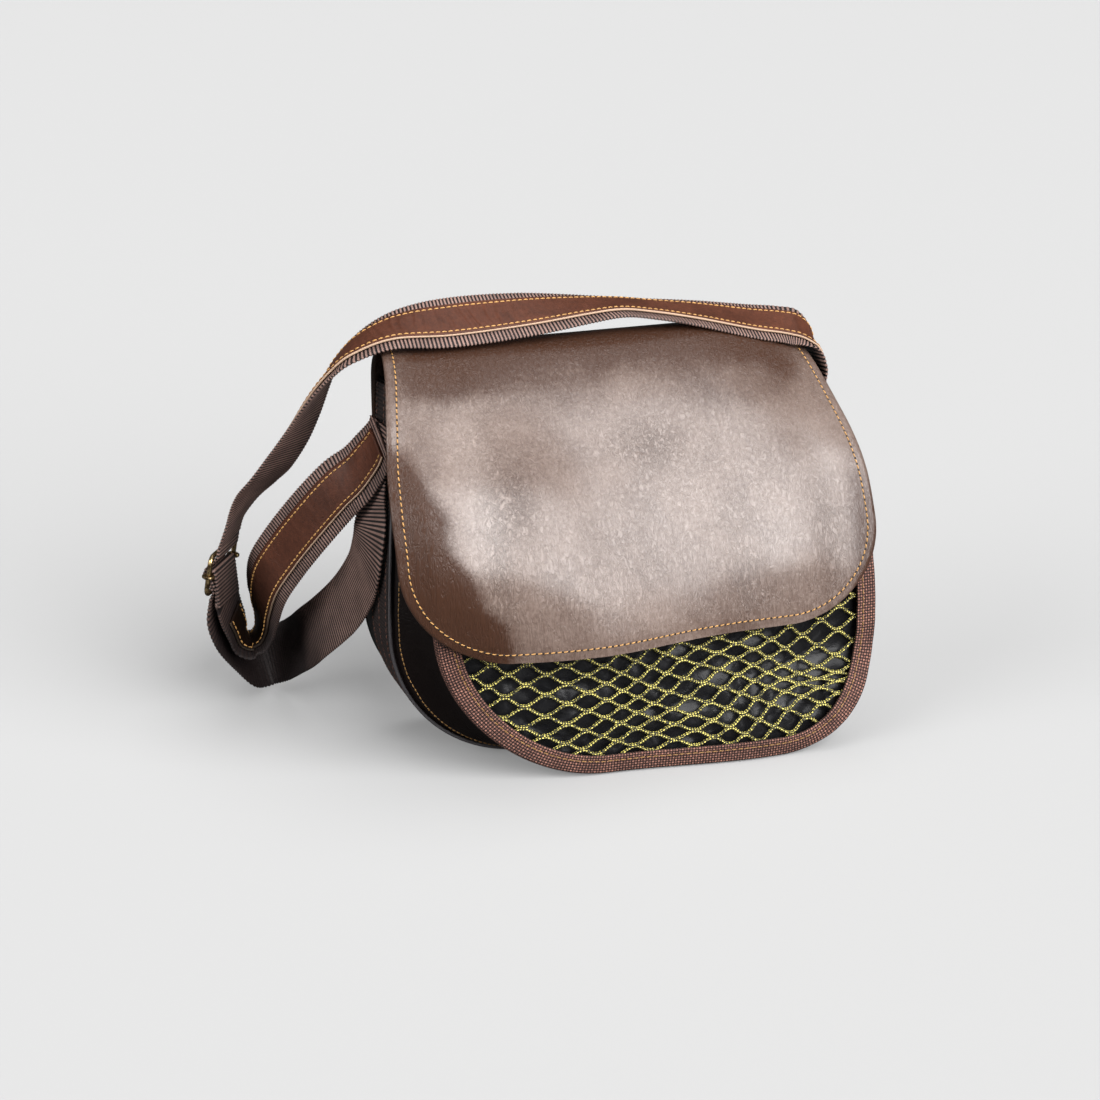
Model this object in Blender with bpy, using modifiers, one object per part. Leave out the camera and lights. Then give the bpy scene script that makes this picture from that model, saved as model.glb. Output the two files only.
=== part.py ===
"""Hunting bag with a leather flap, a net front pocket and a shoulder strap.

The origin is in the middle of the bag's base, on the surface it stands on. +Z is up, the flap hangs
down the -Y side and +X is on the right of someone who looks at the flap. All sizes and tables here
are in millimetres, and build_mesh turns them into metres.

The body is worked out as a straight bag first. settle() then leans and sags every piece of it
together, so that neighbours keep their clearance.
"""

import math
from collections import namedtuple

import bmesh
import bpy
from mathutils import Vector

MM = 0.001
GAP = 0.3
# Clearance between curved sheets that are faceted differently
LAYER_GAP = 1.2

# Leather, cloth and wire thicknesses
PANEL = 2.0
FLAP_LEATHER = 2.5
STRAP_LEATHER = 2.0
LINER = 1.2
WEBBING = 1.8
GUSSET_WEBBING = 2.0
TAPE = 1.2
NET_CORD = 2.6

# The bag's U-shaped outline, seen from the front
Outline = namedtuple("Outline", "left right left_across left_up right_across right_up top taper")
BODY = Outline(152, 152, 88, 90, 80, 80, 236, 0.09)
POCKET = Outline(136, 153, 110, 112, 68, 78, 204, 0.02)
TAPER_START = 90
TAPER_SPAN = 170
SIDE_STEPS = 9
CORNER_STEPS = 8
BASE_STEPS = 6

# Distance of the back, the seam and the net from the middle plane, against height
Depth = namedtuple("Depth", "height back seam net")
DEPTHS = (
    Depth(0, 62.0, -6.0, -58.0),
    Depth(20, 62.0, -6.0, -61.0),
    Depth(60, 61.5, -6.0, -62.0),
    Depth(100, 61.0, -4.5, -60.0),
    Depth(126, 60.5, -1.5, -54.0),
    Depth(152, 60.0, 3.0, -44.0),
    Depth(180, 59.0, 7.5, -30.0),
    Depth(204, 58.5, 11.5, -14.0),
    Depth(236, 58.0, 15.0, -2.0),
)

# How the standing bag leans, bulges and droops
LEAN_BACK = 20
BULGE_FORWARD = 14
DROOP = 19

# Main gusset and what is sewn on it
WELT_WIDTH = 4.6
STRIP_START = 3
STRIP_WIDTH = 38
BACK_PANEL_TOP = 228
FRONT_PANEL_TOP = 230

# Pocket
TAPE_FRONT = 14
TAPE_BACK = 9
# How far the tape's folded edge is rounded off
TAPE_EDGE_ACROSS = 0.5
TAPE_EDGE_DEEP = 0.6
# Step from inside the tape's fold to the pocket gusset
GUSSET_INSET = 3.8
POCKET_SAG = 5
# Height above the base by which the sides have reached their full sag
SAG_HEIGHT = 60
GUSSET_COLUMNS = 5
PANEL_COLUMNS = 12
LINER_COLUMNS = 16

# Diamond net
CELL_WIDE = 24
CELL_HIGH = 16
CORD = 3.2
NET_TOP_OF_HOLES = 104
NET_PLAIN_ROWS = 7
# Points of the lattice that are nearer than this are one point
MERGE = 0.01

# Flap: its side view from the hem at the back over the ridge to the front edge, with half widths
FlapRow = namedtuple("FlapRow", "y z left right")
FLAP = (
    FlapRow(62.5, 196, 140, 140),
    FlapRow(62.4, 213, 140, 140),
    FlapRow(62.2, 229, 140, 140),
    FlapRow(60.8, 241, 140, 140),
    FlapRow(55, 250.5, 140, 140),
    FlapRow(44, 255.5, 140, 140),
    FlapRow(31, 254, 141, 141),
    FlapRow(15, 243, 144, 144),
    FlapRow(-3, 224, 149, 148),
    FlapRow(-20, 202, 153.5, 152),
    FlapRow(-36, 178, 156, 154),
    FlapRow(-50, 151, 156, 154),
    FlapRow(-60, 125, 156, 154),
    FlapRow(-66, 100, 156, 153),
    FlapRow(-67, 87, 156, 153),
)
FLAP_CORNER = 62
FLAP_SAMPLES = 12
FLAP_ROWS = 19
FLAP_CORNER_ROWS = 8
FLAP_COLUMNS = 12

# Soft dents and swells of the flap: where, how wide and how deep (outwards is positive)
Dent = namedtuple("Dent", "x z half_wide half_high depth")
FLAP_DENTS = (
    Dent(-70, 150, 45, 80, 2.5),
    Dent(20, 190, 50, 26, -3.0),
    Dent(95, 150, 40, 60, 2.5),
    Dent(60, 110, 22, 40, -2.0),
)

# Shoulder strap: middle of the band and direction from its near edge to its far edge
Station = namedtuple("Station", "x y z ax ay az")
STRAP_WIDTH = 40
STRIP_LEATHER_WIDTH = 24
STATION_SPACING = 11
LOOP_SPACING = 6
EDGE_PLACES = (-STRAP_WIDTH / 2, STRAP_WIDTH / 2)
STRIP_PLACES = (-STRIP_LEATHER_WIDTH / 2, STRIP_LEATHER_WIDTH / 2)
LINED_PLACES = (EDGE_PLACES[0], *STRIP_PLACES, EDGE_PLACES[1])
LEATHER_BASE = WEBBING / 2 + GAP
LEATHER_TOP = LEATHER_BASE + STRAP_LEATHER

# Stations of bare webbing before and after the leather
SHOULDER_BARE_START = 4
SHOULDER_BARE_END = 4
LOOP_BARE_START = 1
LOOP_BARE_END = 4

TAIL = (
    Station(-143, 35, 213, 0, 1, 0),
    Station(-145.6, 34, 190, 0, 1, 0),
    Station(-150.5, 29, 168, 0, 0.97, 0.24),
    Station(-155, 23, 146, -0.10, 0.89, 0.44),
    Station(-157, 26, 128, -0.14, 0.85, 0.51),
    Station(-158, 38, 111, -0.14, 0.83, 0.54),
    Station(-164, 59, 87, -0.16, 0.82, 0.56),
    Station(-177, 91, 58, -0.16, 0.88, 0.44),
    Station(-182, 118, 40, -0.04, 0.71, 0.71),
    Station(-187, 137, 28, 0.02, 0.45, 0.89),
    Station(-196, 145, 23, 0.0, 0.40, 0.92),
    Station(-205, 142, 23, 0.0, 0.55, 0.84),
    Station(-213, 134, 28, 0.15, 0.83, 0.54),
    Station(-222, 128, 41, 0.40, 0.90, 0.10),
    Station(-230, 122, 56, 0.48, 0.87, 0.0),
    Station(-233.5, 119, 70, 0.50, 0.86, -0.05),
)
SHOULDER = (
    Station(-221, 113, 131, 0.52, 0.86, 0.03),
    Station(-215, 109, 144, 0.64, 0.77, 0.03),
    Station(-208, 101, 157, 0.78, 0.62, 0.02),
    Station(-200, 89, 171, 0.79, 0.62, -0.04),
    Station(-190, 80, 189, 0.74, 0.67, -0.07),
    Station(-182, 73, 206, 0.68, 0.73, -0.02),
    Station(-173, 65, 227, 0.56, 0.83, 0.03),
    Station(-163, 59, 244, 0.41, 0.91, 0.09),
    Station(-151, 52, 257, 0.43, 0.85, 0.28),
    Station(-129, 46, 267, 0.38, 0.85, 0.37),
    Station(-95, 42, 270, 0.26, 0.79, 0.55),
    Station(-49, 43, 271, 0.30, 0.84, 0.45),
    Station(-8, 45, 271, 0.35, 0.92, 0.20),
    Station(17, 46, 270, 0.37, 0.93, 0.05),
    Station(40, 46, 266.5, 0.38, 0.92, 0.04),
    Station(73, 46, 260.5, 0.39, 0.90, 0.14),
    Station(109, 45, 254, 0.37, 0.89, 0.24),
    Station(130, 44, 251, 0.30, 0.88, 0.32),
    Station(145, 40, 247.5, 0.20, 0.87, 0.40),
    Station(154, 36, 238, 0.10, 0.85, 0.48),
    Station(156, 35, 226, 0.03, 0.90, 0.40),
    Station(151, 35, 214, 0, 0.97, 0.20),
    Station(146.5, 34, 202, 0, 1, 0),
    Station(145.2, 34, 190, 0, 1, 0),
    Station(148, 34, 165, 0, 1, 0),
)
LOOP = (
    Station(-146.5, 20, 207, 0, 0.78, 0.60),
    Station(-148.5, 24, 200, -0.03, 0.75, 0.62),
    Station(-152.5, 29, 192, -0.08, 0.72, 0.66),
    Station(-159, 36, 181, -0.14, 0.68, 0.70),
    Station(-169, 45, 169, -0.24, 0.56, 0.78),
    Station(-183, 59.5, 147, -0.33, 0.52, 0.79),
    Station(-196, 77.5, 121.5, -0.38, 0.55, 0.76),
    Station(-205, 92, 99, -0.40, 0.66, 0.62),
    Station(-206, 108, 76, -0.28, 0.88, 0.38),
    Station(-204.5, 116, 60, -0.06, 0.96, 0.27),
    Station(-206, 120, 49, 0.10, 0.98, 0.16),
    Station(-212, 121.5, 43, 0.24, 0.96, 0.06),
    Station(-218.5, 121, 48, 0.38, 0.92, 0.0),
    Station(-221.5, 119.5, 58, 0.46, 0.88, 0.0),
    Station(-225, 118, 69, 0.50, 0.86, -0.03),
)

# Slider: middle of the centre bar, its direction up the strap, and across the strap
SLIDER_MIDDLE = Vector((-230, 118, 102))
SLIDER_UP = Vector((0.17, -0.04, 0.98))
SLIDER_ACROSS = Vector((0.50, 0.86, -0.05))
SLIDER_HALF_LENGTH = 13
FRAME_WIRE = 1.6
BAR_WIRE = 1.2
FRAME_CORNER = 5
FRAME_CORNER_STEPS = 4
HOOK_START = 60
HOOK_END = 300
HOOK_STEPS = 10
WIRE_ROUNDNESS = 2

# Bends of the bands on the slider's rods, measured to the middle of the webbing
LOOP_ON_BAR = BAR_WIRE + GAP + WEBBING / 2
STRAP_ON_BAR = LOOP_ON_BAR + WEBBING + GAP
STRAP_ON_FRAME = FRAME_WIRE + GAP + WEBBING / 2
LOOP_UNDER_STRAP = STRAP_ON_FRAME + WEBBING + GAP
LOOP_END_UNDER = LOOP_UNDER_STRAP + WEBBING + GAP
# Largest step of a bend, in degrees
ARC_STEP = 24
# Where the bands leave the slider, along the strap, and how much nearer they start
STRAP_LEAVES = 18
LOOP_LEAVES = 20
LOOP_END_LEAVES = 22
STRAP_LEAD_IN = 1.2


def smooth_step(value):
    """Ease from 0 to 1 over the unit interval."""
    value = min(max(value, 0.0), 1.0)
    return value * value * (3 - 2 * value)


def at_height(column, height):
    """A column of the depth table at any height, on a smooth curve through its rows."""
    last = len(DEPTHS) - 1
    row = 0
    while row < last - 1 and height > DEPTHS[row + 1].height:
        row += 1

    def slope(index):
        low = DEPTHS[max(index - 1, 0)]
        high = DEPTHS[min(index + 1, last)]
        return (getattr(high, column) - getattr(low, column)) / (high.height - low.height)

    start = DEPTHS[row]
    end = DEPTHS[row + 1]
    span = end.height - start.height
    part = (height - start.height) / span
    blend = smooth_step(part)
    ease_out = part * (1 - part) ** 2 * span
    ease_in = part * part * (part - 1) * span
    return ((1 - blend) * getattr(start, column) + blend * getattr(end, column)
            + ease_out * slope(row) + ease_in * slope(row + 1))


def settle(point):
    """Lean, bulge and droop of the standing bag."""
    x, y, z = point
    front = smooth_step((6 - y) / 50)
    lean = LEAN_BACK * smooth_step((165 - z) / 110) * smooth_step((-x - 30) / 115)
    bulge = BULGE_FORWARD * smooth_step((70 - z) / 60) * smooth_step((x + 40) / 120)
    droop = DROOP * smooth_step((x - 60) / 100) * smooth_step((z - 150) / 110)
    return x, y + front * (lean - bulge), z - droop


def catmull(rows, where):
    """Smooth curve through rows of numbers; where runs from 0 to the last row's index."""
    index = min(int(where), len(rows) - 2)
    part = where - index
    here = rows[index]
    after = rows[index + 1]
    before = rows[index - 1] if index > 0 else [2 * a - b for a, b in zip(here, after)]
    beyond = (rows[index + 2] if index + 2 < len(rows)
              else [2 * b - a for a, b in zip(here, after)])
    return [0.5 * (2 * b + (c - a) * part + (2 * a - 5 * b + 4 * c - d) * part ** 2
                   + (3 * b - a - 3 * c + d) * part ** 3)
            for a, b, c, d in zip(before, here, after, beyond)]


def outline_path(shape, inset=0.0):
    """Points (x, z) down the left side, round the base and up the right side, moved inwards by inset."""
    path = []
    for step in range(SIDE_STEPS):
        path.append((-shape.left, shape.top + (shape.left_up - shape.top) * step / SIDE_STEPS))
    for step in range(CORNER_STEPS):
        angle = math.pi / 2 * step / CORNER_STEPS
        path.append((-shape.left + shape.left_across * (1 - math.cos(angle)),
                     shape.left_up * (1 - math.sin(angle))))
    base_start = -shape.left + shape.left_across
    base_end = shape.right - shape.right_across
    for step in range(BASE_STEPS):
        path.append((base_start + (base_end - base_start) * step / BASE_STEPS, 0))
    for step in range(CORNER_STEPS):
        angle = math.pi / 2 * step / CORNER_STEPS
        path.append((base_end + shape.right_across * math.sin(angle),
                     shape.right_up * (1 - math.cos(angle))))
    for step in range(SIDE_STEPS + 1):
        path.append((shape.right, shape.right_up + (shape.top - shape.right_up) * step / SIDE_STEPS))
    tapered = []
    for x, z in path:
        narrow = 1 - shape.taper * smooth_step((z - TAPER_START) / TAPER_SPAN)
        tapered.append((x * narrow, z))
    moved = []
    last = len(tapered) - 1
    for index, (x, z) in enumerate(tapered):
        x0, z0 = tapered[max(index - 1, 0)]
        x1, z1 = tapered[min(index + 1, last)]
        length = math.hypot(x1 - x0, z1 - z0)
        inward_x = -(z1 - z0) / length
        inward_z = (x1 - x0) / length
        if index in (0, last):
            inward_x = math.copysign(1, -x)
            inward_z = 0
        moved.append((x + inset * inward_x, z + inset * inward_z))
    return moved


def build_mesh(name, points, faces, colour, settled=True):
    """Object made from millimetre points, settled with the bag if it is part of its body."""
    mesh = bpy.data.meshes.new(name)
    placed = [settle(point) if settled else point for point in points]
    mesh.from_pydata([Vector(point) * MM for point in placed], [], faces)
    surface = bmesh.new()
    surface.from_mesh(mesh)
    bmesh.ops.recalc_face_normals(surface, faces=surface.faces)
    surface.to_mesh(mesh)
    surface.free()
    return add_object(name, mesh, colour)


def add_object(name, data, colour):
    """Link an object with its material into the bag's collection."""
    piece = bpy.data.objects.new(name, data)
    bpy.data.collections["hunting_bag"].objects.link(piece)
    data.materials.append(material(*colour))
    return piece


def material(name, red, green, blue, roughness, metallic=0.0):
    """A plain principled material, made once for each name."""
    if name in bpy.data.materials:
        return bpy.data.materials[name]
    made = bpy.data.materials.new(name)
    made.use_nodes = True
    shader = made.node_tree.nodes["Principled BSDF"]
    shader.inputs["Base Color"].default_value = (red, green, blue, 1)
    shader.inputs["Roughness"].default_value = roughness
    shader.inputs["Metallic"].default_value = metallic
    return made


DARK_LEATHER = ("dark_leather", 0.012, 0.009, 0.008, 0.35)
FLAP_BROWN = ("flap_leather", 0.20, 0.15, 0.13, 0.35)
STRAP_BROWN = ("strap_leather", 0.10, 0.035, 0.02, 0.35)
WEBBING_BROWN = ("webbing", 0.055, 0.032, 0.028, 0.7)
TAPE_BROWN = ("binding_tape", 0.09, 0.045, 0.04, 0.8)
NET_GREEN = ("net_cord", 0.25, 0.23, 0.05, 0.7)
LINER_BLACK = ("pocket_liner", 0.01, 0.01, 0.011, 0.2)
BRASS = ("antique_brass", 0.35, 0.24, 0.11, 0.35, 1.0)


def sweep(name, sections, colour, settled=True):
    """Loft closed rings of points into one solid with flat ends."""
    count = len(sections[0])
    points = [point for section in sections for point in section]
    faces = []
    for row in range(len(sections) - 1):
        for corner in range(count):
            after = (corner + 1) % count
            faces.append((row * count + corner, row * count + after,
                          (row + 1) * count + after, (row + 1) * count + corner))
    faces.append(tuple(range(count)))
    faces.append(tuple(range(len(points) - count, len(points))))
    return build_mesh(name, points, faces, colour, settled)


def thicken(piece, thickness):
    """Make an open sheet a solid, half of the thickness on each side."""
    shell = piece.modifiers.new("thickness", "SOLIDIFY")
    shell.thickness = thickness * MM
    shell.offset = 0
    shell.use_even_offset = True
    return piece


def band_section(outer, inner, low, high, column):
    """Ring round a U-shaped band between two inset paths, from depth low to depth high."""
    (x_out, z_out), (x_in, z_in) = outer, inner
    steps = [part / column for part in range(column + 1)]
    ring = [(x_out, low(z_out) + (high(z_out) - low(z_out)) * part, z_out) for part in steps]
    ring += [(x_in, low(z_out) + (high(z_out) - low(z_out)) * part, z_in) for part in reversed(steps)]
    return ring


def u_band(name, inset, thickness, low, high, colour, columns=1):
    """Band of one thickness that follows the body's outline."""
    outer = outline_path(BODY, inset)
    inner = outline_path(BODY, inset + thickness)
    sections = [band_section(a, b, low, high, columns) for a, b in zip(outer, inner)]
    return sweep(name, sections, colour)


def outline_panel(name, path, top, depth, thickness, columns, colour):
    """Upright sheet that fills a U path up to a height, as rows that cross from side to side."""
    last = len(path) - 1
    rows = [(path[step], path[last - step]) for step in range(SIDE_STEPS + CORNER_STEPS + 1)]
    kept = [row for row in rows if row[0][1] < top]
    kept.insert(0, ((side_at(path[:SIDE_STEPS + 1], top), top),
                    (side_at(path[-SIDE_STEPS - 1:], top), top)))
    points = []
    for (x0, z0), (x1, z1) in kept:
        for step in range(columns + 1):
            part = step / columns
            x = x0 + (x1 - x0) * part
            z = z0 + (z1 - z0) * part
            points.append((x, depth(z), z))
    faces = grid_faces(len(kept), columns + 1)
    return thicken(build_mesh(name, points, faces, colour), thickness)


def grid_faces(rows, wide):
    """Quads of a grid of points that is listed row by row."""
    faces = []
    for row in range(rows - 1):
        for column in range(wide - 1):
            a = row * wide + column
            faces.append((a, a + 1, a + wide + 1, a + wide))
    return faces


def back_depth(z):
    """Middle of the back panel's leather."""
    return at_height("back", z) + PANEL / 2


def seam_depth(z):
    """Middle of the front panel's leather."""
    return at_height("seam", z)


def net_depth(z):
    """Middle of the net's cords."""
    return at_height("net", z) + NET_CORD / 2


def liner_depth(z):
    """Middle of the pocket liner."""
    return at_height("net", z) + NET_CORD + LAYER_GAP + LINER / 2


def make_main_compartment():
    """Back, gusset, webbing strip, front panel and the welt of the seam."""
    on_gusset = GUSSET_WEBBING + GAP
    behind_seam = PANEL / 2 + LAYER_GAP
    u_band("main_gusset", on_gusset, PANEL,
           lambda z: seam_depth(z) + behind_seam,
           lambda z: at_height("back", z) - GAP, DARK_LEATHER, columns=2)
    u_band("gusset_webbing", 0, GUSSET_WEBBING,
           lambda z: seam_depth(z) + STRIP_START,
           lambda z: seam_depth(z) + STRIP_START + STRIP_WIDTH, WEBBING_BROWN)
    u_band("seam_welt", 0, GUSSET_WEBBING,
           lambda z: seam_depth(z) - WELT_WIDTH / 2,
           lambda z: seam_depth(z) + WELT_WIDTH / 2, FLAP_BROWN)
    panel_path = outline_path(BODY, on_gusset)
    outline_panel("back_panel", panel_path, BACK_PANEL_TOP, back_depth, PANEL,
                  PANEL_COLUMNS, DARK_LEATHER)
    outline_panel("front_panel", panel_path, FRONT_PANEL_TOP, seam_depth, PANEL,
                  PANEL_COLUMNS, DARK_LEATHER)


def make_pocket_gusset():
    """Leather band from the seam to the pocket's front, sagging inwards between them."""
    seam_outer = outline_path(BODY, GUSSET_WEBBING + GAP)
    seam_inner = outline_path(BODY, GUSSET_WEBBING + GAP + PANEL)
    front_outer = outline_path(POCKET, TAPE + GUSSET_INSET)
    front_inner = outline_path(POCKET, TAPE + GUSSET_INSET + PANEL)
    behind_liner = NET_CORD + LINER + TAPE + 3 * LAYER_GAP
    sections = []
    for a, b, c, d in zip(seam_outer, front_outer, seam_inner, front_inner):
        back = seam_depth(a[1]) - PANEL / 2 - LAYER_GAP
        front = at_height("net", b[1]) + behind_liner
        ring = []
        for (x0, z0), (x1, z1), order in ((a, b, 1), (c, d, -1)):
            side = []
            for step in range(GUSSET_COLUMNS):
                part = step / (GUSSET_COLUMNS - 1)
                sag = POCKET_SAG * 4 * part * (1 - part)
                x = x0 + (x1 - x0) * part
                z = z0 + (z1 - z0) * part
                side.append((x - math.copysign(sag, x) * smooth_step(z / SAG_HEIGHT),
                             back + (front - back) * part, z))
            ring += side[::order]
        sections.append(ring)
    return sweep("pocket_gusset", sections, DARK_LEATHER)


def make_binding():
    """Tape folded round the edge of the net and the liner."""
    inside = NET_CORD + LINER + 2 * LAYER_GAP
    # distance inwards from the tape's outer edge, and behind the net's front
    profile = (
        (TAPE_EDGE_ACROSS, -TAPE - LAYER_GAP), (TAPE_FRONT, -TAPE - LAYER_GAP),
        (TAPE_FRONT, -LAYER_GAP), (TAPE, -LAYER_GAP),
        (TAPE, inside), (TAPE_BACK, inside),
        (TAPE_BACK, inside + TAPE), (TAPE_EDGE_ACROSS, inside + TAPE),
        (0, inside + TAPE - TAPE_EDGE_DEEP), (0, -TAPE - LAYER_GAP + TAPE_EDGE_DEEP),
    )
    rings = [outline_path(POCKET, inset) for inset, _ in profile]
    sections = []
    for step in range(len(rings[0])):
        sections.append([(ring[step][0], at_height("net", ring[step][1]) + depth, ring[step][1])
                         for ring, (_, depth) in zip(rings, profile)])
    return sweep("binding", sections, TAPE_BROWN)


def inside_outline(polygon, outline):
    """Cut a polygon to a convex outline that runs anticlockwise."""
    for index, (x0, z0) in enumerate(outline):
        x1, z1 = outline[(index + 1) % len(outline)]
        kept = []
        for step, (x, z) in enumerate(polygon):
            x_next, z_next = polygon[(step + 1) % len(polygon)]
            side = (x1 - x0) * (z - z0) - (z1 - z0) * (x - x0)
            side_next = (x1 - x0) * (z_next - z0) - (z1 - z0) * (x_next - x0)
            if side >= 0:
                kept.append((x, z))
            if side * side_next < 0:
                part = side / (side - side_next)
                kept.append((x + (x_next - x) * part, z + (z_next - z) * part))
        polygon = kept
        if len(polygon) < 3:
            return []
    return polygon


def make_net():
    """Diamond lattice, pierced where whole cells show and plain under the flap."""
    path = outline_path(POCKET, TAPE + LAYER_GAP)
    outline = [point for point in path if point[1] < NET_TOP_OF_HOLES]
    left_x = max(x for x, z in path[:SIDE_STEPS] if z > NET_TOP_OF_HOLES)
    outline.insert(0, (left_x, NET_TOP_OF_HOLES))
    outline.append((min(x for x, z in path[-SIDE_STEPS:] if z > NET_TOP_OF_HOLES), NET_TOP_OF_HOLES))
    surface = bmesh.new()

    def face(corners):
        made = [surface.verts.new((x * MM, 0, z * MM)) for x, z in corners]
        surface.faces.new(made)

    tape_edge = outline_path(POCKET, TAPE_FRONT)
    shown = [point for point in tape_edge if point[1] < NET_TOP_OF_HOLES]
    half_wide = CELL_WIDE / 2
    half_high = CELL_HIGH / 2
    shrink = 1 - CORD / 2 * math.hypot(half_wide, half_high) / (half_wide * half_high)
    columns = math.ceil(max(POCKET.left, POCKET.right) / half_wide) + 1
    for row in range(-1, round(NET_TOP_OF_HOLES / half_high) + 1):
        for column in range(-columns, columns + 1):
            if (row + column) % 2:
                continue
            x = column * half_wide
            z = row * half_high
            cell = [(x - half_wide, z), (x, z - half_high), (x + half_wide, z), (x, z + half_high)]
            cut = inside_outline(cell, outline)
            hole = [(x + (a - x) * shrink, z + (b - z) * shrink) for a, b in cell]
            open_cell = len(inside_outline(cell, shown)) == 4 and cut == cell
            if open_cell:
                for step in range(4):
                    after = (step + 1) % 4
                    face((cell[step], cell[after], hole[after], hole[step]))
            elif cut:
                face(cut)
    bmesh.ops.remove_doubles(surface, verts=surface.verts, dist=MERGE * MM)
    add_plain_net(surface, path, NET_TOP_OF_HOLES)
    for vertex in surface.verts:
        x, z = vertex.co.x / MM, vertex.co.z / MM
        vertex.co = Vector(settle((x, net_depth(z), z))) * MM
    bmesh.ops.recalc_face_normals(surface, faces=surface.faces)
    mesh = bpy.data.meshes.new("net_panel")
    surface.to_mesh(mesh)
    surface.free()
    return thicken(add_object("net_panel", mesh, NET_GREEN), NET_CORD)


def add_plain_net(surface, path, level):
    """Plain rows from the top of the holes to the top of the pocket, sharing the lattice's points."""
    left_side = [point for point in path[:SIDE_STEPS + 1] if point[1] > level]
    right_side = [point for point in path[-SIDE_STEPS - 1:] if point[1] > level]
    edge = sorted((v for v in surface.verts if abs(v.co.z - level * MM) < MERGE * MM),
                  key=lambda v: v.co.x)
    left_x = edge[0].co.x
    right_x = edge[-1].co.x
    top = path[0][1]
    below = edge
    for row in range(1, NET_PLAIN_ROWS + 1):
        z = level + (top - level) * row / NET_PLAIN_ROWS
        new_left = side_at(left_side, z) * MM
        new_right = side_at(right_side, z) * MM
        above = []
        for vertex in edge:
            part = (vertex.co.x - left_x) / (right_x - left_x)
            above.append(surface.verts.new((new_left + (new_right - new_left) * part, 0, z * MM)))
        for step in range(len(edge) - 1):
            surface.faces.new((below[step], below[step + 1], above[step + 1], above[step]))
        below = above


def side_at(side, height):
    """Where a side of an outline is at a height."""
    side = sorted(side, key=lambda point: point[1])
    for (x0, z0), (x1, z1) in zip(side, side[1:]):
        if z0 <= height <= z1:
            return x0 + (x1 - x0) * (height - z0) / (z1 - z0)
    return side[0][0] if height < side[0][1] else side[-1][0]


def make_pocket():
    """Gusset, liner, net and binding of the front pocket."""
    make_pocket_gusset()
    liner_path = outline_path(POCKET, TAPE + LAYER_GAP)
    outline_panel("pocket_liner", liner_path, POCKET.top - 1, liner_depth, LINER,
                  LINER_COLUMNS, LINER_BLACK)
    make_net()
    make_binding()


def flap_curve():
    """Fine points of the flap's side view with their distance from the hem."""
    fine = []
    travelled = 0.0
    for step in range((len(FLAP) - 1) * FLAP_SAMPLES + 1):
        row = catmull(FLAP, step / FLAP_SAMPLES)
        if fine:
            travelled += math.hypot(row[0] - fine[-1][1], row[1] - fine[-1][2])
        fine.append((travelled, *row))
    return fine


def along_flap(fine, travelled):
    """Side view point and half widths at a distance from the hem."""
    for start, end in zip(fine, fine[1:]):
        if travelled <= end[0]:
            part = (travelled - start[0]) / (end[0] - start[0])
            return [a + (b - a) * part for a, b in zip(start[1:], end[1:])]
    return fine[-1][1:]


def flap_relief(x, z):
    """How far the flap's dents and swells push it outwards."""
    push = 0.0
    for dent in FLAP_DENTS:
        reach = math.hypot((x - dent.x) / dent.half_wide, (z - dent.z) / dent.half_high)
        push += dent.depth * smooth_step(1 - reach)
    return push


def make_flap():
    """One leather sheet from the hem on the back over the ridge to the rounded front."""
    fine = flap_curve()
    length = fine[-1][0]
    straight = length - FLAP_CORNER
    distances = [straight * row / FLAP_ROWS for row in range(FLAP_ROWS)]
    for row in range(FLAP_CORNER_ROWS + 1):
        distances.append(straight + FLAP_CORNER * math.sin(math.pi / 2 * row / FLAP_CORNER_ROWS))
    points = []
    for distance in distances:
        y, z, left, right = along_flap(fine, distance)
        into_corner = max(distance - straight, 0.0)
        rounding = FLAP_CORNER - math.sqrt(max(FLAP_CORNER ** 2 - into_corner ** 2, 0.0))
        for column in range(FLAP_COLUMNS + 1):
            part = column / FLAP_COLUMNS
            x = -(left - rounding) * (1 - part) + (right - rounding) * part
            push = flap_relief(x, z) if y < 0 else 0.0
            points.append((x, y - push, z))
    faces = grid_faces(len(distances), FLAP_COLUMNS + 1)
    return thicken(build_mesh("flap", points, faces, FLAP_BROWN), FLAP_LEATHER)


def slider_axes():
    """Unit directions along the slider, across it, and out of its outer face."""
    across = SLIDER_ACROSS.normalized()
    up = (SLIDER_UP - across * SLIDER_UP.dot(across)).normalized()
    return up, across, up.cross(across)


def slider_point(along, out, sideways=0.0):
    """A place in the slider: along the strap, out of its outer face, and across the strap."""
    up, across, outward = slider_axes()
    return SLIDER_MIDDLE + up * along + outward * out + across * sideways


def slider_station(along, out):
    """A station of a band that lies in the slider."""
    place = slider_point(along, out)
    across = slider_axes()[1]
    return Station(*place, *across)


# A rod that a band bends round: its place, the radius of the bend, and 1 where the band passes
# over it or -1 where it passes under it
Rod = namedtuple("Rod", "along out radius side")


def round_rods(rods):
    """Path of a band drawn tight round a row of rods, with arcs on the rods."""
    angles = []
    for here, after in zip(rods, rods[1:]):
        reach = math.hypot(after.along - here.along, after.out - here.out)
        direct = math.atan2(after.out - here.out, after.along - here.along)
        lift = (here.side * here.radius - after.side * after.radius) / reach
        angles.append(direct - math.asin(lift))
    path = [(rods[0].along, rods[0].out)]
    for rod, arriving, leaving in zip(rods[1:], angles, angles[1:]):
        turn = leaving - arriving
        while turn * rod.side > 0:
            turn -= rod.side * 2 * math.pi
        steps = max(1, math.ceil(abs(math.degrees(turn)) / ARC_STEP))
        for step in range(steps + 1):
            angle = arriving + turn * step / steps
            path.append((rod.along - rod.side * rod.radius * math.sin(angle),
                         rod.out + rod.side * rod.radius * math.cos(angle)))
    path.append((rods[-1].along, rods[-1].out))
    return path


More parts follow.
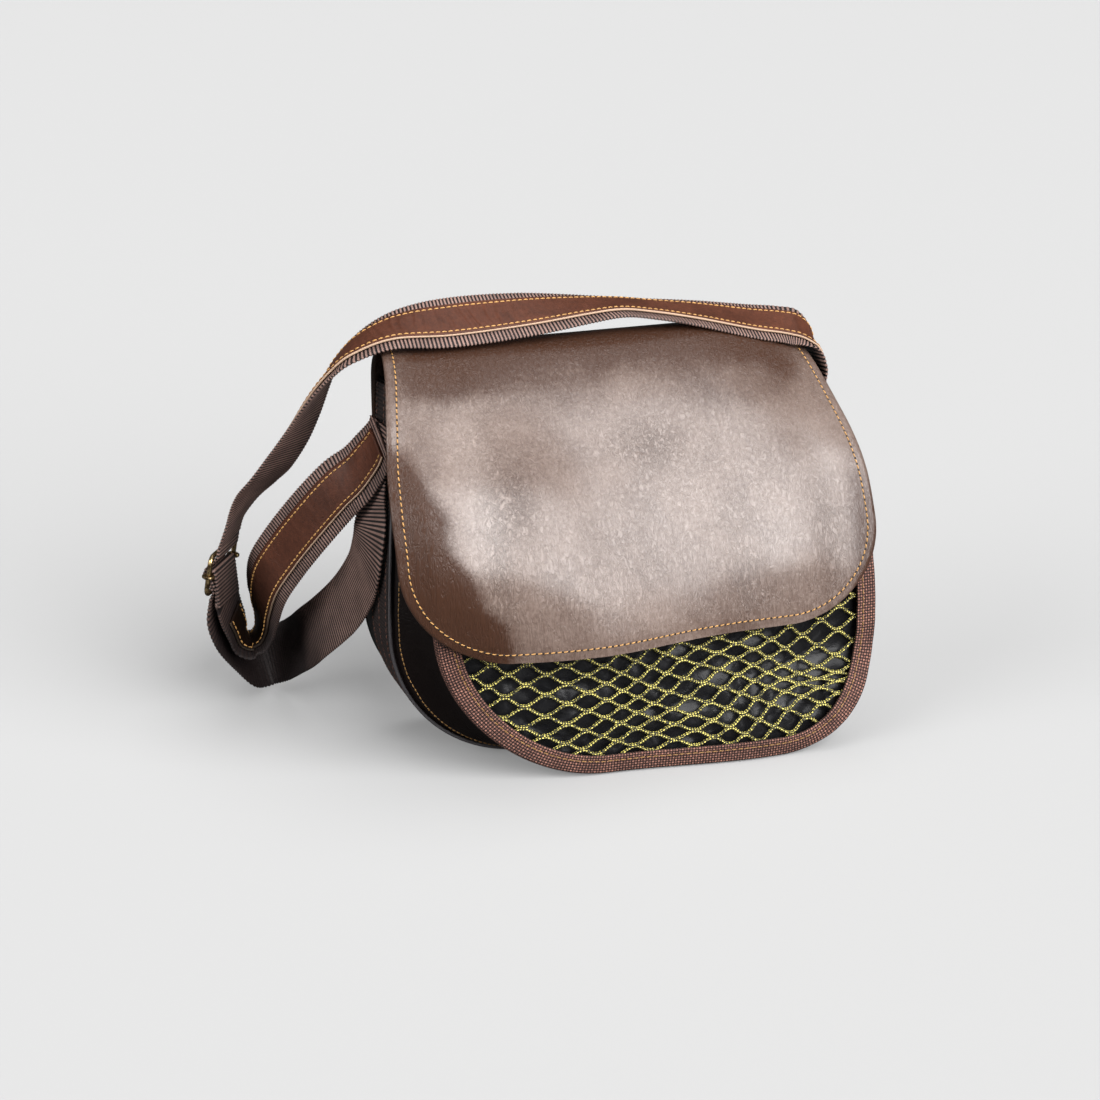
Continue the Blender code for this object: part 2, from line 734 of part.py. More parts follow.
def smooth_stations(table, spacing=STATION_SPACING):
    """Evenly spaced stations on a smooth curve through a strap table."""
    stations = []
    for index in range(len(table) - 1):
        span = (Vector(table[index + 1][:3]) - Vector(table[index][:3])).length
        steps = max(1, round(span / spacing))
        for step in range(steps):
            stations.append(Station(*catmull(table, index + step / steps)))
    stations.append(table[-1])
    return stations


def frames(stations):
    """Middle, across and face direction of a band at each station."""
    made = []
    last = len(stations) - 1
    for index, station in enumerate(stations):
        before = Vector(stations[max(index - 1, 0)][:3])
        after = Vector(stations[min(index + 1, last)][:3])
        forward = (after - before).normalized()
        across = Vector(station[3:])
        across = (across - forward * across.dot(forward)).normalized()
        made.append((Vector(station[:3]), across, across.cross(forward)))
    return made


def ribbon(name, bands, low, high, low_places, high_places, colour):
    """Flat band through frames, between two heights above its middle surface.

    The places are across the band. Two bands that lie on each other and share places have the
    same facets there, because every facet is split from its near to its far edge.
    """
    ring = [(place, low) for place in low_places]
    ring += [(place, high) for place in reversed(high_places)]
    count = len(ring)
    points = [middle + across * place + face * height
              for middle, across, face in bands for place, height in ring]
    faces = [tuple(range(count)), tuple(range(len(points) - count, len(points)))]
    for row in range(len(bands) - 1):
        for corner in range(count):
            after = (corner + 1) % count
            a = row * count + corner
            b = row * count + after
            c = b + count
            d = a + count
            if ring[after][0] >= ring[corner][0]:
                faces += [(a, b, c), (a, c, d)]
            else:
                faces += [(a, b, d), (b, c, d)]
    return build_mesh(name, points, faces, colour, settled=False)


def make_shoulder_strap():
    """Long webbing from the left gusset through the slider to the right gusset, and its leather."""
    path = round_rods((
        Rod(-STRAP_LEAVES, -STRAP_ON_FRAME + STRAP_LEAD_IN, 0, 1),
        Rod(-SLIDER_HALF_LENGTH, 0, STRAP_ON_FRAME, -1),
        Rod(0, 0, STRAP_ON_BAR, 1),
        Rod(SLIDER_HALF_LENGTH, 0, STRAP_ON_FRAME, -1),
        Rod(STRAP_LEAVES, -STRAP_ON_FRAME, 0, 1),
    ))
    inside = [slider_station(along, out) for along, out in path]
    tail = smooth_stations(TAIL + (inside[0],))
    shoulder = smooth_stations((inside[-1],) + SHOULDER)
    bands = frames(tail[:-1] + inside + shoulder[1:])
    ribbon("shoulder_webbing", bands, -WEBBING / 2, WEBBING / 2, LINED_PLACES, EDGE_PLACES,
           WEBBING_BROWN)
    lined = bands[len(tail) + len(inside) + SHOULDER_BARE_START:-SHOULDER_BARE_END]
    ribbon("shoulder_leather", lined, -LEATHER_TOP, -LEATHER_BASE, STRIP_PLACES, STRIP_PLACES,
           STRAP_BROWN)


def make_loop_strap():
    """Short webbing from the left gusset to the slider's centre bar, and its leather."""
    path = round_rods((
        Rod(-LOOP_LEAVES, -LOOP_UNDER_STRAP - STRAP_LEAD_IN, 0, 1),
        Rod(-SLIDER_HALF_LENGTH, 0, LOOP_UNDER_STRAP, -1),
        Rod(0, 0, LOOP_ON_BAR, 1),
        Rod(-LOOP_END_LEAVES, -LOOP_END_UNDER - STRAP_LEAD_IN, 0, 1),
    ))
    inside = [slider_station(along, out) for along, out in path]
    loop = smooth_stations(LOOP + (inside[0],), LOOP_SPACING)
    bands = frames(loop[:-1] + inside)
    ribbon("loop_webbing", bands, -WEBBING / 2, WEBBING / 2, EDGE_PLACES, LINED_PLACES,
           WEBBING_BROWN)
    lined = bands[LOOP_BARE_START:len(loop) - LOOP_BARE_END]
    ribbon("loop_leather", lined, LEATHER_BASE, LEATHER_TOP, STRIP_PLACES, STRIP_PLACES,
           STRAP_BROWN)


def wire(name, places, radius, closed):
    """Round wire through places, as a curve with capped ends."""
    curve = bpy.data.curves.new(name, "CURVE")
    curve.dimensions = "3D"
    curve.bevel_depth = radius * MM
    curve.bevel_resolution = WIRE_ROUNDNESS
    curve.use_fill_caps = not closed
    line = curve.splines.new("POLY")
    line.points.add(len(places) - 1)
    for point, place in zip(line.points, places):
        point.co = (*(place * MM), 1)
    line.use_cyclic_u = closed
    return add_object(name, curve, BRASS)


def make_slider():
    """Wire frame, and a centre bar whose ends hook round it."""
    hook = FRAME_WIRE + GAP + BAR_WIRE
    half_wide = STRAP_WIDTH / 2 + GAP + BAR_WIRE + hook
    corners = []
    for along_sign, side_sign, start in ((1, 1, 0), (1, -1, 90), (-1, -1, 180), (-1, 1, 270)):
        for step in range(FRAME_CORNER_STEPS + 1):
            angle = math.radians(start + 90 * step / FRAME_CORNER_STEPS)
            sideways = side_sign * (half_wide - FRAME_CORNER) + FRAME_CORNER * math.cos(angle)
            along = along_sign * (SLIDER_HALF_LENGTH - FRAME_CORNER) + FRAME_CORNER * math.sin(angle)
            corners.append(slider_point(along, 0, sideways))
    wire("buckle_frame", corners, FRAME_WIRE, closed=True)
    end = []
    for step in range(HOOK_STEPS + 1):
        angle = math.radians(HOOK_END + (HOOK_START - HOOK_END) * step / HOOK_STEPS)
        end.append((half_wide - hook * math.cos(angle), hook * math.sin(angle)))
    end.append((STRAP_WIDTH / 2 + GAP, 0))
    places = [slider_point(0, out, -sideways) for sideways, out in end]
    places += [slider_point(0, out, sideways) for sideways, out in reversed(end)]
    wire("buckle_bar", places, BAR_WIRE, closed=False)


def main():
    """Clear the scene and build every piece of the bag."""
    for old in list(bpy.data.objects):
        bpy.data.objects.remove(old, do_unlink=True)
    bag = bpy.data.collections.new("hunting_bag")
    bpy.context.scene.collection.children.link(bag)
    make_main_compartment()
    make_pocket()
    make_flap()
    make_shoulder_strap()
    make_loop_strap()
    make_slider()


main()
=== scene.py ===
"""Looks of the hunting bag: leather, net, webbing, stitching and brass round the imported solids.

The bag's shape tables are in millimetres, in the solids' own frame: the origin is in the middle of
the base, +Z is up, the flap hangs down the -Y side and +X is on the right. settle() leans and sags
the straight body in the same way as the solids.
"""

import math
from collections import namedtuple

import bpy
import numpy as np
from bpy.props import FloatProperty, FloatVectorProperty, PointerProperty
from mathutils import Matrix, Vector, noise


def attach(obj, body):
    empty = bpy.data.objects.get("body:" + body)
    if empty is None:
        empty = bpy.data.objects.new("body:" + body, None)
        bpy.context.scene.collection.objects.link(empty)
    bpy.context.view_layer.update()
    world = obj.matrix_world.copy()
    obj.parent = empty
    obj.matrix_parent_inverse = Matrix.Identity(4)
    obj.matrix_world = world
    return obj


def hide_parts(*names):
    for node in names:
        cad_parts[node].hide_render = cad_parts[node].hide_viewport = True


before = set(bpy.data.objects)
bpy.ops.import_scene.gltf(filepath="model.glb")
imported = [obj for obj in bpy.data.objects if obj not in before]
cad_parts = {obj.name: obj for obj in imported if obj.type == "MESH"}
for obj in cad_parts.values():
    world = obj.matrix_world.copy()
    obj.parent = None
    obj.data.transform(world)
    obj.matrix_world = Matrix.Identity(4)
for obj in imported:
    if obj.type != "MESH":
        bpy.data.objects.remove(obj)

bl_info = {
    "name": "Hunting bag looks",
    "version": (1, 0, 0),
    "blender": (4, 5, 0),
    "location": "View3D > Sidebar > Hunting bag",
    "description": "Builds the visible leather, net, webbing and stitching of a hunting bag",
    "category": "Object",
}

MM = 0.001
GAP = 0.3
LAYER_GAP = 1.2
PANEL = 2.0
FLAP_LEATHER = 2.5
STRAP_LEATHER = 2.0
LINER = 1.2
WEBBING = 1.8
GUSSET_WEBBING = 2.0
TAPE = 1.2
NET_CORD = 2.6

# The bag's U-shaped outlines, seen from the front
Outline = namedtuple("Outline", "left right left_across left_up right_across right_up top taper")
BODY = Outline(152, 152, 88, 90, 80, 80, 236, 0.09)
POCKET = Outline(136, 153, 110, 112, 68, 78, 204, 0.02)
TAPER_START = 90
TAPER_SPAN = 170
SIDE_STEPS = 60
CORNER_STEPS = 44
BASE_STEPS = 50

# height, back, seam, net
DEPTHS = np.array((
    (0, 62.0, -6.0, -58.0),
    (20, 62.0, -6.0, -61.0),
    (60, 61.5, -6.0, -62.0),
    (100, 61.0, -4.5, -60.0),
    (126, 60.5, -1.5, -54.0),
    (152, 60.0, 3.0, -44.0),
    (180, 59.0, 7.5, -30.0),
    (204, 58.5, 11.5, -14.0),
    (236, 58.0, 15.0, -2.0),
))
BACK, SEAM, NET = 1, 2, 3

LEAN_BACK = 20
BULGE_FORWARD = 14
DROOP = 19

WELT_PLY = 2.2
WELT_PLACES = (-1.25, 1.25)
PANEL_COLUMNS = 80
BACK_STITCH_INSET = 6
BACK_STITCH_TOP = 190
STRIP_START = 3
STRIP_WIDTH = 38
STRIP_STITCH_PLACES = (-15.5, 0.0, 15.5)
BACK_PANEL_TOP = 228
FRONT_PANEL_TOP = 230
TAPE_FRONT = 14
TAPE_BACK = 9
GUSSET_INSET = 3.8
POCKET_SAG = 5
SAG_HEIGHT = 60
CELL_WIDE = 23
CELL_HIGH = 12.4
CELL_STEP = 1.1
CORD_SIDES = 8
CORD_LUMPS = 0.16
# The cords' turn from one diagonal to the next: how sharp it is, and how straight they run on
CELL_TURN = 0.93
CELL_BEND = 1.9
CELL_BEND_SHARE = 0.35
CELL_STRAIGHT = 1.22
# Where the net is drawn together: x, z, half sizes and share
NET_PULL = (134, 44, 55, 30, 0.66)
# The liner's thickness as it is seen, in millimetres
LINER_SEEN = 0.6

# y, z, left, right: the flap's side view from the hem at the back to the front edge
FLAP = np.array((
    (62.5, 196, 140, 140),
    (62.4, 213, 140, 140),
    (62.2, 229, 140, 140),
    (60.8, 241, 140, 140),
    (55, 250.5, 140, 140),
    (44, 255.5, 140, 140),
    (31, 254, 141, 141),
    (15, 243, 144, 144),
    (-3, 224, 149, 148),
    (-20, 202, 153.5, 152),
    (-36, 178, 156, 154),
    (-50, 151, 156, 154),
    (-60, 125, 156, 154),
    (-66, 100, 156, 153),
    (-67, 87, 156, 153),
), float)
FLAP_CORNER = 62
FLAP_COLUMNS = 190
FLAP_ROWS = 150
FLAP_CORNER_ROWS = 40
EDGE_ROW_START = 70.0
HEM_ROWS = (5.0, 12.0)

# Soft dents of the flap: x, z, half width, half height, depth outwards
FLAP_DENTS = (
    (-70, 150, 45, 80, 2.5),
    (20, 190, 56, 34, -2.2),
    (95, 150, 40, 60, 2.5),
    (60, 110, 26, 44, -0.8),
)
# Small creases pressed into the flap: x, z, half width, half height, wave length, depth
FLAP_CREASES = (
    (-86, 196, 9, 34, 7.0, 0.14),
    (-74, 178, 10, 30, 8.0, 0.12),
    (8, 196, 20, 7, 4.6, 0.30),
    (24, 203, 16, 6, 4.0, 0.24),
)
# Soft fold of the flap's lower left: two places on its line (x, z)
FOLD_TOP = (-150, 222)
FOLD_LOW = (-93, 98)
FOLD_WIDTH = 42
FOLD_RISE = 9.0
# Painted shade to the left of the fold's line, added to the flap's tone
FOLD_SHADE = -1.7
CURL_START = -134
CURL = 6.0
# Where fine upright wrinkles run, with painted shade in their creases: x, z, half width, half
# height, amount
FLAP_WRINKLES = (
    (-98, 160, 9, 60, 1.0),
    (-84, 176, 14, 22, 0.9),
    (12, 198, 24, 10, 0.8),
    (-30, 130, 30, 20, 0.35),
    (60, 120, 12, 40, 0.5),
    (120, 140, 10, 40, 0.5),
)
# Patches of darker (negative) and paler (positive) tone on the flap, partly wax and partly painted
# shade and painted sheen: x, z, half sizes, amount
FLAP_WAX_AND_PAINTED_LIGHT = (
    (-112, 240, 40, 12, -0.50),
    (-84, 178, 16, 22, -0.16),
    (-100, 250, 70, 14, -0.35),
    (0, 252, 120, 16, -0.55),
    (100, 250, 60, 16, -0.55),
    (118, 226, 18, 12, -0.35),
    (12, 202, 44, 22, -0.16),
    (60, 222, 40, 14, -0.20),
    (-108, 212, 18, 13, 0.65),
    (-104, 176, 15, 34, 0.45),
    (-60, 112, 34, 30, 0.25),
    (20, 150, 60, 44, 0.10),
    (130, 200, 20, 26, 0.50),
    (86, 124, 24, 40, 0.40),
    (113, 140, 9, 40, -0.10),
    (146, 130, 10, 60, -0.60),
    (10, 104, 60, 16, 0.10),
)

# Looks, in metres: the strap's turn darkened as painted shade, threads of webbing and cord, and
# relief of leather
TURN_SHADE_PLACE = (-0.212, 0.132, 0.030)
TURN_SHADE_COLOUR = (0.004, 0.002, 0.001)
RIB_THREAD = 0.0011
BRAID_PITCH = 0.0018
LEATHER_RELIEF = 0.0003
WRINKLE_STRETCH = (1.0, 1.0, 0.16)

STRAP_WIDTH = 40
STRIP_LEATHER_WIDTH = 24
STRIP_STITCH_INSET = 2.2
RAW_EDGE_WIDTH = 0.9
RAW_EDGE_OUT = 0.25
RAW_EDGE_ROUND = 0.25
RAW_EDGE_DOWN = 0.35
WEBBING_TEETH = 0.35
BAND_COLUMNS = 12
STRIP_COLUMNS = 16
# Where the strips' cross wrinkles are deepest, how far they reach and how deep they are
WRINKLE_PLACE = (-98, 42, 270)
WRINKLE_REACH = 34
WRINKLE_DEPTH = 0.36
WRINKLE_REST = 0.05
# Bare webbing beside the slider and at the shoulder's far end, and at both ends of the loop
SHOULDER_BARE = 45
LOOP_BARE_START = 3
LOOP_BARE_END = 13
# Straps: middle of the band, and direction from its near edge to its far edge
TAIL = np.array((
    (-143, 35, 213, 0, 1, 0),
    (-145.6, 34, 190, 0, 1, 0),
    (-150.5, 29, 168, 0, 0.97, 0.24),
    (-155, 23, 146, -0.10, 0.89, 0.44),
    (-157, 26, 128, -0.14, 0.85, 0.51),
    (-158, 38, 111, -0.14, 0.83, 0.54),
    (-164, 59, 87, -0.16, 0.82, 0.56),
    (-177, 91, 58, -0.16, 0.88, 0.44),
    (-182, 118, 40, -0.04, 0.71, 0.71),
    (-187, 137, 28, 0.02, 0.45, 0.89),
    (-196, 145, 23, 0.0, 0.40, 0.92),
    (-205, 142, 23, 0.0, 0.55, 0.84),
    (-213, 134, 28, 0.15, 0.83, 0.54),
    (-222, 128, 41, 0.40, 0.90, 0.10),
    (-230, 122, 56, 0.48, 0.87, 0.0),
    (-233.5, 119, 70, 0.50, 0.86, -0.05),
))
SHOULDER = np.array((
    (-221, 113, 131, 0.52, 0.86, 0.03),
    (-215, 109, 144, 0.64, 0.77, 0.03),
    (-208, 101, 157, 0.78, 0.62, 0.02),
    (-200, 89, 171, 0.79, 0.62, -0.04),
    (-190, 80, 189, 0.74, 0.67, -0.07),
    (-182, 73, 206, 0.68, 0.73, -0.02),
    (-173, 65, 227, 0.56, 0.83, 0.03),
    (-163, 59, 244, 0.41, 0.91, 0.09),
    (-151, 52, 257, 0.43, 0.85, 0.28),
    (-129, 46, 267, 0.38, 0.85, 0.37),
    (-95, 42, 270, 0.26, 0.79, 0.55),
    (-49, 43, 271, 0.30, 0.84, 0.45),
    (-8, 45, 271, 0.35, 0.92, 0.20),
    (17, 46, 270, 0.37, 0.93, 0.05),
    (40, 46, 266.5, 0.38, 0.92, 0.04),
    (73, 46, 260.5, 0.39, 0.90, 0.14),
    (109, 45, 253, 0.37, 0.88, 0.28),
    (130, 44, 249.5, 0.30, 0.87, 0.36),
    (142, 41, 246.5, 0.20, 0.87, 0.42),
    (149.5, 38, 238, 0.10, 0.88, 0.42),
    (151, 36, 226, 0.03, 0.91, 0.34),
    (149, 35, 214, 0, 0.97, 0.20),
    (146.5, 34, 202, 0, 1, 0),
    (145.2, 34, 190, 0, 1, 0),
    (148, 34, 165, 0, 1, 0),
))
LOOP = np.array((
    (-146.5, 20, 207, 0, 0.78, 0.60),
    (-148.5, 24, 200, -0.03, 0.75, 0.62),
    (-152.5, 29, 192, -0.08, 0.72, 0.66),
    (-159, 36, 181, -0.14, 0.68, 0.70),
    (-169, 45, 169, -0.24, 0.56, 0.78),
    (-183, 59.5, 147, -0.33, 0.52, 0.79),
    (-196, 77.5, 121.5, -0.38, 0.55, 0.76),
    (-205, 92, 99, -0.40, 0.66, 0.62),
    (-206, 108, 76, -0.28, 0.88, 0.38),
    (-204.5, 116, 60, -0.06, 0.96, 0.27),
    (-206, 120, 49, 0.10, 0.98, 0.16),
    (-212, 121.5, 43, 0.24, 0.96, 0.06),
    (-218.5, 121, 48, 0.38, 0.92, 0.0),
    (-221.5, 119.5, 58, 0.46, 0.88, 0.0),
    (-225, 118, 69, 0.50, 0.86, -0.03),
))

SLIDER_MIDDLE = np.array((-230.0, 118.0, 102.0))
SLIDER_UP = np.array((0.17, -0.04, 0.98))
SLIDER_ACROSS = np.array((0.50, 0.86, -0.05))
SLIDER_HALF_LENGTH = 13
FRAME_WIRE = 1.6
BAR_WIRE = 1.2
FRAME_CORNER = 5
HOOK_START = 60
HOOK_END = 300
LOOP_ON_BAR = BAR_WIRE + GAP + WEBBING / 2
STRAP_ON_BAR = LOOP_ON_BAR + WEBBING + GAP
STRAP_ON_FRAME = FRAME_WIRE + GAP + WEBBING / 2
LOOP_UNDER_STRAP = STRAP_ON_FRAME + WEBBING + GAP
LOOP_END_UNDER = LOOP_UNDER_STRAP + WEBBING + GAP
ARC_STEP = 10
STRAP_LEAVES = 18
LOOP_LEAVES = 20
LOOP_END_LEAVES = 22
STRAP_LEAD_IN = 1.2
WIRE_SIDES = 16
WIRE_CORNER_STEPS = 8
HOOK_STEPS = 20

# Each ring of a stitch: share of its length, height and width
STITCH_RINGS = ((0.0, -0.35, 0.35), (0.12, 0.05, 0.8), (0.35, 0.3, 1.0), (0.65, 0.3, 1.0),
                (0.88, 0.05, 0.8), (1.0, -0.35, 0.35))
STITCH_SIDES = 6
HOLE_SIDES = 8
HOLE_RISE = 0.06
HOLE_DEPTH = 0.3
SIDEWAYS = (0.0, 1.0, 0.0)

CAMERA_TARGET = (-0.045, 0.0, 0.130)
CAMERA_AZIMUTH = -20
CAMERA_ELEVATION = 20
CAMERA_DISTANCE = 1.3
CAMERA_LENS = 68.07
FLOOR_HALF = 12.0
FLOOR_DROP = 0.0003
FLOOR_GLOW = 0.14
ROOM_SEEN = 0.78
# Lights: name, share of the key light, width in degrees, direction that they come from
LIGHTS = (
    ("key", 1.0, 56, (0.33, -0.79, 0.56)),
    ("left", 0.34, 40, (-0.93, -0.22, 0.42)),
    ("top", 0.20, 50, (0.1, 0.1, 1.0)),
)


# --- shapes ---------------------------------------------------------------------------------


def smooth_step(value):
    """Ease from 0 to 1 over the unit interval."""
    value = np.clip(value, 0.0, 1.0)
    return value * value * (3 - 2 * value)


def at_height(column, height):
    """A column of the depth table at any heights, on a smooth curve through its rows."""
    heights = DEPTHS[:, 0]
    values = DEPTHS[:, column]
    slopes = np.gradient(values, heights)
    row = np.clip(np.searchsorted(heights, height) - 1, 0, len(heights) - 2)
    span = heights[row + 1] - heights[row]
    part = (height - heights[row]) / span
    blend = smooth_step(part)
    return ((1 - blend) * values[row] + blend * values[row + 1]
            + part * (1 - part) ** 2 * span * slopes[row]
            + part * part * (part - 1) * span * slopes[row + 1])


def stacked(*columns):
    """Arrays side by side, as the coordinates of points."""
    return np.stack(np.broadcast_arrays(*columns), axis=-1)


def settle(points):
    """Lean, bulge and droop of the standing bag, for an array of points."""
    x, y, z = np.moveaxis(np.asarray(points, float), -1, 0)
    front = smooth_step((6 - y) / 50)
    lean = LEAN_BACK * smooth_step((165 - z) / 110) * smooth_step((-x - 30) / 115)
    bulge = BULGE_FORWARD * smooth_step((70 - z) / 60) * smooth_step((x + 40) / 120)
    droop = DROOP * smooth_step((x - 60) / 100) * smooth_step((z - 150) / 110)
    return stacked(x, y + front * (lean - bulge), z - droop)


def catmull(rows, where):
    """Smooth curve through the rows of an array; where runs from 0 to the last row's index."""
    where = np.asarray(where, float)
    padded = np.vstack((2 * rows[0] - rows[1], rows, 2 * rows[-1] - rows[-2]))
    index = np.minimum(where.astype(int), len(rows) - 2)
    part = (where - index)[..., None]
    a, b, c, d = (padded[index + step] for step in range(4))
    return 0.5 * (2 * b + (c - a) * part + (2 * a - 5 * b + 4 * c - d) * part ** 2
                  + (3 * b - a - 3 * c + d) * part ** 3)


def lengths(points):
    """Distance travelled along a path at each of its points."""
    steps = np.linalg.norm(np.diff(points, axis=0), axis=1)
    return np.concatenate(((0.0,), np.cumsum(steps)))


def resample(points, spacing, travelled=None):
    """Points at an even spacing along a path. Extra columns are carried along."""
    travelled = lengths(points[:, :3]) if travelled is None else travelled
    count = max(2, int(round(travelled[-1] / spacing)) + 1)
    wanted = np.linspace(0, travelled[-1], count)
    return np.stack([np.interp(wanted, travelled, column) for column in points.T], axis=1)


def unit(vectors):
    """Vectors of length one."""
    return vectors / np.linalg.norm(vectors, axis=-1, keepdims=True)


def wobble(points, size, seed=0.0):
    """Smooth noise, from about -1 to 1, at each point of an array."""
    flat = np.asarray(points, float).reshape(-1, 3) / size + seed
    values = [noise.noise(Vector(point)) for point in flat]
    return np.array(values).reshape(np.shape(points)[:-1])


def outline(shape, inset=0.0):
    """Points (x, z) down the left side, round the base and up the right side."""
    corner = np.linspace(0, math.pi / 2, CORNER_STEPS, endpoint=False)
    left_side = np.linspace(shape.top, shape.left_up, SIDE_STEPS, endpoint=False)
    right_side = np.linspace(shape.right_up, shape.top, SIDE_STEPS + 1)
    base_start = -shape.left + shape.left_across
    base_end = shape.right - shape.right_across
    base = np.linspace(base_start, base_end, BASE_STEPS, endpoint=False)
    x = np.concatenate((
        np.full(SIDE_STEPS, -float(shape.left)),
        -shape.left + shape.left_across * (1 - np.cos(corner)),
        base,
        base_end + shape.right_across * np.sin(corner),
        np.full(SIDE_STEPS + 1, float(shape.right)),
    ))
    z = np.concatenate((
        left_side,
        shape.left_up * (1 - np.sin(corner)),
        np.zeros(BASE_STEPS),
        shape.right_up * (1 - np.cos(corner)),
        right_side,
    ))
    x = x * (1 - shape.taper * smooth_step((z - TAPER_START) / TAPER_SPAN))
    path = stacked(x, z)
    forward = unit(np.gradient(path, axis=0))
    inward = np.stack((-forward[:, 1], forward[:, 0]), axis=1)
    inward[0] = (1, 0)
    inward[-1] = (-1, 0)
    return path + inset * inward


def side_at(side, height):
    """Where a side of an outline is at the given heights."""
    ordered = side[np.argsort(side[:, 1])]
    return np.interp(height, ordered[:, 1], ordered[:, 0])


# --- meshes ---------------------------------------------------------------------------------


def make_mesh(name, points, faces, finish, replaced=(), slot=None, uv=None, values=None):
    """Piece from millimetre points that rides with the bag and stands for the named nodes."""
    mesh = bpy.data.meshes.new(name)
    mesh.from_pydata((np.asarray(points, float) * MM).tolist(), [], faces)
    mesh.shade_smooth()
    loops = np.zeros(len(mesh.loops), int)
    mesh.loops.foreach_get("vertex_index", loops)
    if uv is not None:
        layer = mesh.uv_layers.new(name="along")
        layer.data.foreach_set("uv", (np.asarray(uv, float)[loops] * MM).ravel())
    for label, numbers in (values or {}).items():
        attribute = mesh.attributes.new(label, "FLOAT", "POINT")
        attribute.data.foreach_set("value", np.asarray(numbers, np.float32))
    piece = bpy.data.objects.new(name, mesh)
    bpy.context.scene.collection.objects.link(piece)
    mesh.materials.append(finish)
    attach(piece, "root")
    if replaced:
        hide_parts(*replaced)
    return piece


def grid_quads(rows, columns, start=0, flip=False):
    """Faces of a grid of points listed row by row."""
    a = np.arange(rows * columns).reshape(rows, columns) + start
    quads = np.stack((a[:-1, :-1], a[:-1, 1:], a[1:, 1:], a[1:, :-1]), axis=-1).reshape(-1, 4)
    return (quads[:, ::-1] if flip else quads).tolist()


def grid_normals(middle):
    """Unit normals of a grid of points."""
    down = np.gradient(middle, axis=0)
    across = np.gradient(middle, axis=1)
    return unit(np.cross(across, down))


def thick_sheet(name, middle, thickness, finish, values=None, round_edge=0.45, **roles):
    """Closed sheet with rounded edges round a grid of middle points."""
    rows, columns = middle.shape[:2]
    count = rows * columns
    places = np.arange(count).reshape(rows, columns)
    border = np.concatenate((places[0, :-1], places[:-1, -1], places[-1, :0:-1], places[:0:-1, 0]))
    edge = np.divmod(border, columns)
    inner = np.clip(edge[0], 1, rows - 2), np.clip(edge[1], 1, columns - 2)
    outward = unit(middle[edge] - middle[inner])
    half = thickness / 2
    lift = np.full((rows, columns, 1), half)
    lift[edge] = half * (1 - round_edge)
    lift = grid_normals(middle) * lift
    rounded = middle[edge] + outward * half * round_edge
    points = np.concatenate(((middle + lift).reshape(-1, 3), (middle - lift).reshape(-1, 3),
                             rounded))
    after = np.roll(border, -1)
    rim = 2 * count + np.arange(len(border))
    rim_after = np.roll(rim, -1)
    sides = np.array(((border, after, rim_after, rim),
                      (rim, rim_after, after + count, border + count)))
    faces = (grid_quads(rows, columns, 0, flip=True) + grid_quads(rows, columns, count)
             + sides.transpose(2, 0, 1).reshape(-1, 4).tolist())
    spread = {label: np.concatenate((numbers.ravel(), numbers.ravel(), numbers[edge]))
              for label, numbers in (values or {}).items()}
    return make_mesh(name, points, faces, finish, values=spread, **roles)


def tube_faces(rings, sides, start=0, closed=False):
    """Faces of a tube of rings, with flat caps unless it closes on itself."""
    grid = np.arange(rings * sides).reshape(rings, sides) + start
    beside = np.roll(grid, -1, axis=1)
    quads = (grid, beside, np.roll(beside, -1, axis=0), np.roll(grid, -1, axis=0))
    last = rings if closed else rings - 1
    faces = np.stack(quads, axis=-1)[:last].reshape(-1, 4).tolist()
    return faces if closed else faces + [grid[0][::-1].tolist(), grid[-1].tolist()]


def rings_round(middle, side, up, radii, sides):
    """Rings of points round a path, and the angles of their points."""
    turn = np.arange(sides) * 2 * math.pi / sides
    across = (np.cos(turn) * radii[:, None])[..., None]
    upright = (np.sin(turn) * radii[:, None])[..., None]
    return middle[:, None] + side[:, None] * across + up[:, None] * upright, turn


def loft(name, rings, finish, uv=None, closed=False, **roles):
    """Tube through rings of points."""
    faces = tube_faces(*rings.shape[:2], closed=closed)
    flat = None if uv is None else uv.reshape(-1, 2)
    return make_mesh(name, rings.reshape(-1, 3), faces, finish, uv=flat, **roles)


def many(name, shape, faces, places, forward, side, up, finish):
    """One mesh from copies of a small shape, one at each place and turned to its directions."""
    copies = (places[:, None] + forward[:, None] * shape[None, :, 0:1]
              + side[:, None] * shape[None, :, 1:2] + up[:, None] * shape[None, :, 2:3])
    moved = [tuple(corner + copy * len(shape) for corner in face)
             for copy in range(len(places)) for face in faces]
    return make_mesh(name, copies.reshape(-1, 3), moved, finish)


# --- bands ----------------------------------------------------------------------------------

Band = namedtuple("Band", "middle across face travelled")


def band_along(stations, spacing):
    """Band frames at an even spacing along stations of middle and across."""
    even = resample(stations, spacing)
    middle = even[:, :3]
    forward = unit(np.gradient(middle, axis=0))
    across = even[:, 3:6]
    across = unit(across - forward * (across * forward).sum(1, keepdims=True))
    return Band(middle, across, np.cross(across, forward), lengths(middle))


def part_of(band, start, end):
    """The frames of a band between two distances."""
    keep = (band.travelled >= start) & (band.travelled <= end)
    return Band(*(column[keep] for column in band))


